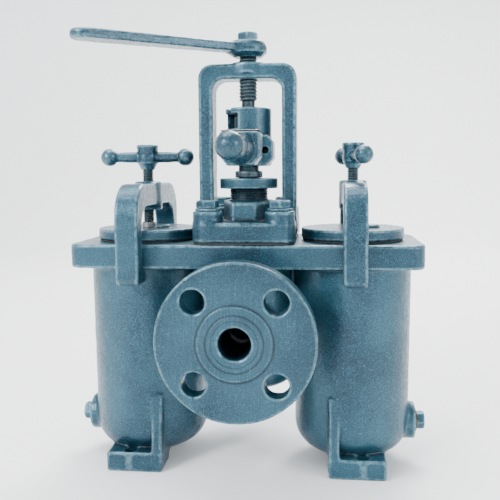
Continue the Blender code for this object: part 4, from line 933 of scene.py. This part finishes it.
def handle():
    end, half_width, half_height = -span("changeover_handle", 1)[0], BLOCK_HALF_WIDTH, BLOCK_HALF_HEIGHT
    grip_length = end - BLOCK_END
    solid = Solid(
        (-half_width, -end, HANDLE_AXIS - half_height), (half_width, -9, HANDLE_AXIS + half_height), 0.55
    )
    solid.add(rod(1, (0, HANDLE_AXIS), 10, (-20, -NECK_LENGTH - 1)))
    solid.cut(post(HEAD_RADIUS + 0.3, (HANDLE_AXIS - 30, HANDLE_AXIS + 30)))
    section = filleted(
        [(-half_width, half_height, 2), (half_width, half_height, 2), (half_width, -6.5, 1.5),
         (10.4, -half_height, 1.5), (-10.4, -half_height, 1.5), (-half_width, -6.5, 1.5)], 4)
    section = [(x, z + HANDLE_AXIS) for x, z in section]
    solid.add(extruded(1, section, (-BLOCK_END, -NECK_LENGTH), 1.2), blend=2.5)
    grip = [(0, -8), (12.0, -8), (12.0, 0), (8.4, 0.22 * grip_length)]
    grip += arc((0, grip_length - GRIP_BALL), GRIP_BALL, 12, 90, 14)
    profile = [(r, -BLOCK_END - along) for r, along in grip]
    solid.add(turned(1, (0, HANDLE_AXIS), profile), blend=2.0)
    solid.add(rod(1, (0, HANDLE_AXIS), SPIGOT_RADIUS, (-11, -NECK_LENGTH), 0.4))
    for side in SIDES:
        solid.cut(rod(2, rivet_place(side), RIVET_HOLE, (HANDLE_AXIS + 9, HANDLE_AXIS + 30)))
    return solid.mesh("handle", 0.07)


def direction_plate():
    """A bright frame, a divider and two arrows standing out of etched fields.

    Returns the mesh and the heights between which its finish goes from etched to bright.
    """
    (x0, x1), (y0, y1), (z0, z1) = (span("direction_plate", axis) for axis in range(3))
    box = (x0, y0, z0), (x1, y1, z1)
    pitch, rim, divider = 0.2, 1.7, 0.45
    arrow_reach, arrow_place, arrow_half = 12.0, 4.4, 0.5
    etched, root = z1 - 0.35, z0 + 0.1
    cx, cy = (x0 + x1) / 2, (y0 + y1) / 2
    solid = Solid(*box, pitch)
    outline = [(x + cx, y + cy) for x, y in rectangle(x1 - x0, y1 - y0, 1.2)]
    solid.add(extruded(2, outline, (z0, etched), 0.1))
    proud = Solid(*box, pitch)
    proud.add(extruded(2, outline, (root, z1), 0.1))
    proud.cut(bar((x0 + rim, y0 + rim, z0 - 3), (x1 - rim, y1 - rim, z1 + 3)))
    proud.add(bar((cx - divider, y0 + 1, root), (cx + divider, y1 - 1, z1), 0.05))
    for way in ENDS:
        y = cy - way * arrow_place
        shaft = bar((cx - 9.5, y - arrow_half, root), (cx + 9.5, y + arrow_half, z1), 0.05)
        tip = cx + way * arrow_reach
        point = [(tip, y), (tip - way * 4.2, y + 1.9), (tip - way * 4.2, y - 1.9)]
        proud.add(shaft, extruded(2, point, (root, z1), 0.02))
    solid.field = np.minimum(solid.field, proud.field)
    for side in SIDES:
        solid.cut(rod(2, rivet_place(side), RIVET_HOLE, (z0 - 4, z1 + 4)))
    return solid.mesh("direction_plate"), (etched + 0.08) * MM + ORIGIN.z, (z1 - 0.12) * MM + ORIGIN.z


def rivet(side):
    (x0, x1), (y0, y1), (z0, z1) = (span(f"plate_rivet_{side}", axis) for axis in range(3))
    radius, dome_height, shank = (x1 - x0) / 2, 0.8, 1
    head = z1 - dome_height
    dome = [(radius * math.cos(a), head + dome_height * math.sin(a)) for a in np.linspace(0, math.pi / 2, 8)]
    profile = [(0, z0), (shank, z0), (shank, head), *dome[:-1], (0, z1)]
    solid = Solid((x0, y0, z0), (x1, y1, z1), 0.12)
    solid.add(turned(2, ((x0 + x1) / 2, (y0 + y1) / 2), profile))
    return solid.mesh(f"rivet_{side}")


# Jack screw and lever
THREAD_RADIUS = 8
JACK_HEAD_RADIUS = 12.3
JACK_HEAD_HEIGHT = 10.1
JACK_NECK_RADIUS = 5.8
JACK_SPIGOT_RADIUS = 6.5
LEVER_ANGLE = math.radians(215)
LEVER_BASE, LEVER_TOP = span("jack_lever", 2)
LEVER_LENGTH = 143
LEVER_END_RADIUS = 11.25
LEVER_HALF_WIDTH = 8.25
LEVER_HALF_THICKNESS = 3.75


def jack_screw():
    low, high = span("jack_screw", 2)
    solid = round_grid((0, 0), JACK_HEAD_RADIUS, low, high, 0.5)
    solid.add(post(JACK_HEAD_RADIUS, (low, low + JACK_HEAD_HEIGHT), SOFT))
    solid.add(post(JACK_NECK_RADIUS, (low + 5, HEAD_TOP + 8)))
    solid.add(threaded((0, 0), THREAD_RADIUS, (HEAD_TOP + 6.8, LEVER_BASE - 0.3), 3.0, 1.0), blend=0.5)
    solid.add(post(JACK_SPIGOT_RADIUS, (LEVER_BASE - 6, high), 0.6))
    return solid.mesh("jack_screw", 0.03)


def lever():
    """The hub and the arm, laid along X."""
    height = LEVER_TOP - LEVER_BASE
    solid = Solid((-17, -17, LEVER_BASE), (155, 17, LEVER_TOP), 0.8)
    hub = [
        (0, LEVER_TOP), (13.2, LEVER_TOP), (14.4, LEVER_TOP - 0.9), (16.2, LEVER_TOP - 0.30 * height),
        (16.6, LEVER_TOP - 0.42 * height), (16.4, LEVER_BASE + 0.28 * height), (11.6, LEVER_BASE),
        (0, LEVER_BASE),
    ]
    solid.add(turned(2, (0, 0), hub))
    middle_z, half = LEVER_BASE + 0.55 * height, LEVER_HALF_THICKNESS
    end = arc((LEVER_LENGTH, 0), LEVER_END_RADIUS, -87, 87, 20)
    outline = [(0, LEVER_HALF_WIDTH), (0, -LEVER_HALF_WIDTH), *end]
    solid.add(extruded(2, outline, (middle_z - half, middle_z + half), 2.6), blend=5)
    groove = [(13.2, 0.9), (14.0, 0.1), (13.2, -0.7), (12.4, 0.1)]
    solid.cut(ring_of(2, (0, 0), [(r, LEVER_TOP + z) for r, z in groove]))
    solid.cut(post(JACK_SPIGOT_RADIUS + 0.3, (LEVER_BASE - 9, LEVER_TOP + 9)))
    return solid.mesh("lever", 0.10)


def chamfered(solid, axis, centre, profile):
    """Takes the corners off a hexagon by what it has in common with a turned shape."""
    turning = copy.copy(solid)
    turning.field = np.full_like(solid.field, Solid.BAND)
    turning.add(turned(axis, centre, profile))
    solid.field = -smooth_min(-solid.field, -turning.field, 0.5)


def hex_head(name, centre, across_flats, low, high, shank, shank_low, turn=0.0):
    """A bolt with a chamfered head."""
    reach = across_flats / 2 / math.cos(math.pi / 6)
    solid = round_grid(centre, reach, shank_low, high, 0.5)
    solid.add(extruded(2, hexagon(centre, across_flats, turn), (low, high), 0.35))
    rim = reach + 0.3
    chamfered(
        solid, 2, centre,
        [(0, high), (across_flats / 2 - 0.4, high), (rim, high - 1.7), (rim, low - 1), (0, low - 1)]
    )
    solid.add(rod(2, centre, shank, (shank_low, low + 1)))
    return solid.mesh(name, 0.05)


def washer(name, centre, outer, inner, low, high):
    solid = round_grid(centre, outer, low, high, 0.4)
    solid.add(rod(2, centre, outer, (low, high), 0.55))
    solid.cut(rod(2, centre, inner, (low - 5, high + 5)))
    return solid.mesh(name, 0.03)


# Covers and clamps
COVER_RADIUS = (span("cover_right", 0)[1] - span("cover_right", 0)[0]) / 2
COVER_BASE = span("cover_right", 2)[0] + 5.8
COVER_TOP = span("cover_right", 2)[1] - 3.0
COVER_SPIGOT_RADIUS = 37
CLAMP_TOP = span("clamp_right", 2)[1] - 1.5
CLAMP_BOSS_RADIUS = 12
CLAMP_HALF_WIDTH = 9.5
CLAMP_LEG = 15.2
CLAMP_BAR = 19
SCREW_RADIUS = 5
TEE_ANGLES = {"left": math.radians(8), "right": math.radians(103)}
TEE_BALL = 7.8
TEE_BALL_PLACE = 33.7
PLUG_FLATS = 14
PLUG_REACH = 8.1


def cover(name, side):
    x = side * VESSEL_X
    solid = round_grid((x, 0), COVER_RADIUS, -4, COVER_TOP + 3, 0.85)
    solid.add(rod(2, (x, 0), COVER_SPIGOT_RADIUS, (-4, COVER_BASE + 2), 1.0))
    solid.add(rod(2, (x, 0), COVER_RADIUS, (COVER_BASE, COVER_TOP), 1.3))
    oval = [(x + 16.5 + 6 * a, -12.5 + 4.5 * b) for a, b in arc((0, 0), 1, 0, 345, 23)]
    solid.add(extruded(2, oval, (COVER_TOP - 3, COVER_TOP + 3), 1.2), blend=1.6)
    return solid.mesh(name, 0.10)


def clamp(name, side):
    x = side * VESSEL_X
    (y0, y1), (z0, _) = span(f"clamp_{name}", 1), span(f"clamp_{name}", 2)
    inner, hook = y1 - CLAMP_LEG, VESSEL_RADIUS + 1.3
    hook_top = -PLATE_THICKNESS - 0.3
    under = CLAMP_TOP - CLAMP_BAR
    left = [
        (-y1, z0, 6), (-hook, z0, 2.5), (-hook, hook_top, 0), (-inner, hook_top, 1.5), (-inner, under, 20.4),
    ]
    right = [(-u, v, r) for u, v, r in reversed(left)]
    outline = filleted([*left, *right, (y1, CLAMP_TOP, 28), (-y1, CLAMP_TOP, 28)], 10)
    solid = Solid((x - CLAMP_BOSS_RADIUS, y0, z0), (x + CLAMP_BOSS_RADIUS, y1, CLAMP_TOP + 1.5), 0.85)
    solid.add(extruded(0, outline, (x - CLAMP_HALF_WIDTH, x + CLAMP_HALF_WIDTH), 2.0))
    solid.add(rod(2, (x, 0), CLAMP_BOSS_RADIUS, (under - 4.5, CLAMP_TOP + 1.5), 1.5), blend=3)
    solid.cut(rod(2, (x, 0), SCREW_RADIUS + 0.3, (0, 90)), blend=SOFT)
    return solid.mesh(f"clamp_casting_{name}", 0.12)


def clamp_screw(name, side):
    axis = side * VESSEL_X, 0
    low, high = span(f"clamp_screw_{name}", 2)
    solid = round_grid(axis, SCREW_RADIUS, low, high, 0.26)
    solid.add(threaded(axis, SCREW_RADIUS, (low, high), 1.5, 0.8))
    return solid.mesh(f"clamp_thread_{name}")


def tee_handle(name, side):
    """The hub with a flared rim, and the arms with their balls, laid along X."""
    x = side * VESSEL_X
    low, high = span(f"clamp_handle_{name}", 2)
    height = high - low
    solid = Solid((x - 42, -9.7, low), (x + 42, 9.7, high), 0.55)
    hub = [
        (0, high), (8.9, high), (9.7, high - 0.8), (9.5, high - 3.0), (8.7, high - 0.36 * height),
        (9.1, high - 0.55 * height), (8.9, high - 0.72 * height), (6.4, low + 1.0), (6.1, low), (0, low),
    ]
    solid.add(turned(2, (x, 0), hub))
    ball = [(TEE_BALL_PLACE + along, r) for along, r in arc((0, 0), TEE_BALL, 0, 146, 16)]
    arm = [(r, x + along) for along, r in ball] + [(4.2, x + 25.5), (4.7, x + 18), (4.7, x + 6)]
    mirror = [(r, 2 * x - along) for r, along in reversed(arm)]
    solid.add(turned(0, (0, high - height / 2), arm + mirror), blend=1.6)
    solid.cut(rod(2, (x, 0), SCREW_RADIUS + 0.3, (low - 5, low + 6.3)))
    return solid.mesh(f"tee_handle_{name}", 0.05)


def side_hex(name, side):
    """A drain plug, its hexagon facing sideways."""
    face, outer = sorted(span(f"drain_plug_{name}", 0), key=abs)
    seat = max(span(f"drain_washer_{name}", 0), key=abs) + side * 0.3
    z, reach = -DRAIN_DROP, PLUG_REACH
    solid = Solid((min(face, outer), -reach, z - reach), (max(face, outer), reach, z + reach), 0.5)
    solid.add(extruded(0, hexagon((0, z), PLUG_FLATS), (seat, outer), 0.5))
    rim = reach + 0.3
    chamfered(
        solid, 0, (0, z),
        [(0, seat - side), (rim, seat - side), (rim, outer - side * 1.6), (6.6, outer), (0, outer)]
    )
    solid.add(rod(0, (0, z), 6, (face, seat + side)))
    return solid.mesh(f"drain_plug_casting_{name}", 0.05)


def build_centre():
    """The body and what stands over the cock."""
    add_piece("body_casting", body_casting(), PAINT_BODY, "root", ["strainer_body"])
    add_piece("bonnet_casting", bonnet_casting(), PAINT, "root", ["bonnet_yoke"])
    add_piece("gland", gland(), PAINT_GLAND, "root", ["gland_nut"])
    add_piece("collar", collar(), WORN, "cock", ["stem_collar"])
    add_piece("head_casting", stem_head(), PAINT, "cock", ["stem_head"])
    add_piece("handle_forging", handle(), PAINT_SMOOTH, "cock", ["changeover_handle"])
    plate, etched, proud = direction_plate()
    finish = plate_finish(etched, proud)
    add_piece("etched_plate", plate, finish, "cock", ["direction_plate"])
    for side in SIDES:
        add_piece(f"rivet_{side}", rivet(side), COPPER, "cock", [f"plate_rivet_{side}"])
    add_piece("screw_thread", jack_screw(), WORN, "jack", ["jack_screw"])
    add_piece("lever_forging", lever(), PAINT_SMOOTH, "jack", ["jack_lever"], LEVER_ANGLE)
    low, high = span("lever_bolt", 2)
    bolt = hex_head("hub_bolt", (0, 0), 16.5, LEVER_TOP + 0.3, high, 4, low, 90)
    add_piece("hub_bolt", bolt, PAINT, "jack", ["lever_bolt"])
    for i, place in enumerate(BOLT_PLACES, 1):
        low, high = span(f"bonnet_bolt_{i}", 2)
        washer_low, washer_high = span(f"bonnet_washer_{i}", 2)
        head = hex_head(f"yoke_bolt_{i}", place, 17, washer_high + 0.3, high, 5, low, 17 * i)
        add_piece(f"yoke_bolt_{i}", head, PAINT, "root", [f"bonnet_bolt_{i}"])
        ring = washer(f"yoke_washer_{i}", place, 10.5, 5.5, washer_low, washer_high)
        add_piece(f"yoke_washer_{i}", ring, PAINT, "root", [f"bonnet_washer_{i}"])


def build_side(name, side):
    """What stands on one vessel."""
    body, screw = f"clamp_{name}_body", f"screw_{name}"
    add_piece(f"lid_{name}", cover(f"lid_{name}", side), PAINT, "root", [f"cover_{name}"])
    add_piece(f"clamp_casting_{name}", clamp(name, side), PAINT, body, [f"clamp_{name}"])
    thread = clamp_screw(name, side)
    add_piece(f"clamp_thread_{name}", thread, WORN, screw, [f"clamp_screw_{name}"])
    tee, pivot = tee_handle(name, side), (side * VESSEL_X, 0)
    replaced = [f"clamp_handle_{name}"]
    add_piece(f"tee_handle_{name}", tee, PAINT_SMOOTH, screw, replaced, TEE_ANGLES[name], pivot)
    add_piece(f"drain_hex_{name}", side_hex(name, side), PAINT, "root", [f"drain_plug_{name}"])


def finish_cad_nodes():
    """Materials for the CAD nodes that stay as they are, most of them out of sight."""
    finishes = {
        "cock_plug": stem_metal(),
        "thrust_washer": BRONZE_OILED,
        "bonnet_gasket": GASKET,
        "stem_packing": PACKING,
    }
    for name in SIDES:
        finishes[f"cover_gasket_{name}"] = GASKET
        finishes[f"basket_{name}"] = STAINLESS
        finishes[f"basket_bail_{name}"] = STAINLESS
        finishes[f"drain_washer_{name}"] = BRONZE
        finishes[f"clamp_tip_{name}"] = STEEL
    for node, material in finishes.items():
        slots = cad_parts[node].data.materials
        slots.clear()
        slots.append(material)


# Studio
FLOOR_RADIUS = 1.9
FLOOR_CURVE = 0.9
WALL_TOP = 3.0
DAYLIGHT = (0.95, 0.975, 1.0, 1.0)
DAYLIGHT_STRENGTH = 0.97
LAMPS = [  # name, place, target, size, power
    ("overhead", (-0.25, 0.05, 1.40), (0, 0, 0.15), 1.0, 24.0),
    ("front_left", (-1.05, -1.25, 1.05), (0, 0, 0.18), 0.6, 34.0),
    ("front_right", (1.25, -0.70, 0.60), (0, 0, 0.16), 0.6, 9.0),
    ("behind", (0.3, 1.5, 1.6), (0, 1.2, 0.0), 1.0, 72.0),
]
CAMERA_PLACE = (67.3, -611.2, 58.2)
CAMERA_DOWN, CAMERA_LEFT, CAMERA_ROLL = 6.33, 6.24, -0.43
LENS, SENSOR = 49.8, 36


def studio_floor():
    """A pale floor that curves up all round."""
    edge = FLOOR_RADIUS + FLOOR_CURVE
    curve = [
        (FLOOR_RADIUS + FLOOR_CURVE * math.sin(a), FLOOR_CURVE - FLOOR_CURVE * math.cos(a))
        for a in np.linspace(0.1, math.pi / 2, 12)
    ]
    profile = [(0.0, 0.0), (FLOOR_RADIUS, 0.0), *curve, (edge, WALL_TOP)]
    mesh = bpy.data.meshes.new("studio_floor")
    mesh.from_pydata([(r, 0, z) for r, z in profile], [(i, i + 1) for i in range(len(profile) - 1)], [])
    floor = bpy.data.objects.new("studio_floor", mesh)
    bpy.context.scene.collection.objects.link(floor)
    screw = floor.modifiers.new("Screw", "SCREW")
    screw.steps = screw.render_steps = 96
    screw.use_merge_vertices = True
    screw.merge_threshold = 1e-5
    screw.use_smooth_shade = True
    g = Graph("studio_floor")
    grain = g.noise(3, 2, 0.5)
    mesh.materials.append(
        g.set(Base_Color=g.mix(grain, (0.90, 0.91, 0.92), (0.93, 0.94, 0.95)), Roughness=0.6)
    )
    floor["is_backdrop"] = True


def lamps():
    """Even daylight, and soft lamps above, in front and behind."""
    world = bpy.data.worlds.new("studio")
    world.use_nodes = True
    background = world.node_tree.nodes["Background"]
    background.inputs["Color"].default_value = DAYLIGHT
    background.inputs["Strength"].default_value = DAYLIGHT_STRENGTH
    bpy.context.scene.world = world
    for name, place, target, size, power in LAMPS:
        data = bpy.data.lights.new(name, "AREA")
        data.shape = "DISK"
        data.size = size
        data.energy = power
        lamp = bpy.data.objects.new(name, data)
        lamp.location = place
        lamp.rotation_euler = (Vector(target) - Vector(place)).to_track_quat("-Z", "Y").to_euler()
        bpy.context.scene.collection.objects.link(lamp)


def camera():
    data = bpy.data.cameras.new("camera")
    data.sensor_width = SENSOR
    data.lens = LENS
    view = bpy.data.objects.new("camera", data)
    view.location = ORIGIN + Vector(CAMERA_PLACE) * MM
    look = Euler((math.radians(90 - CAMERA_DOWN), 0, math.radians(CAMERA_LEFT)))
    roll = Matrix.Rotation(math.radians(CAMERA_ROLL), 3, "Z")
    view.rotation_euler = (look.to_matrix() @ roll).to_euler()
    bpy.context.scene.collection.objects.link(view)
    bpy.context.scene.camera = view


camera()
build_centre()
for side_name, side_sign in SIDES.items():
    build_side(side_name, side_sign)
finish_cad_nodes()
studio_floor()
lamps()

boxes = {"cad": cad_bounds, "visual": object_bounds()}
{name: [list(corner) for corner in box] for name, box in boxes.items()}
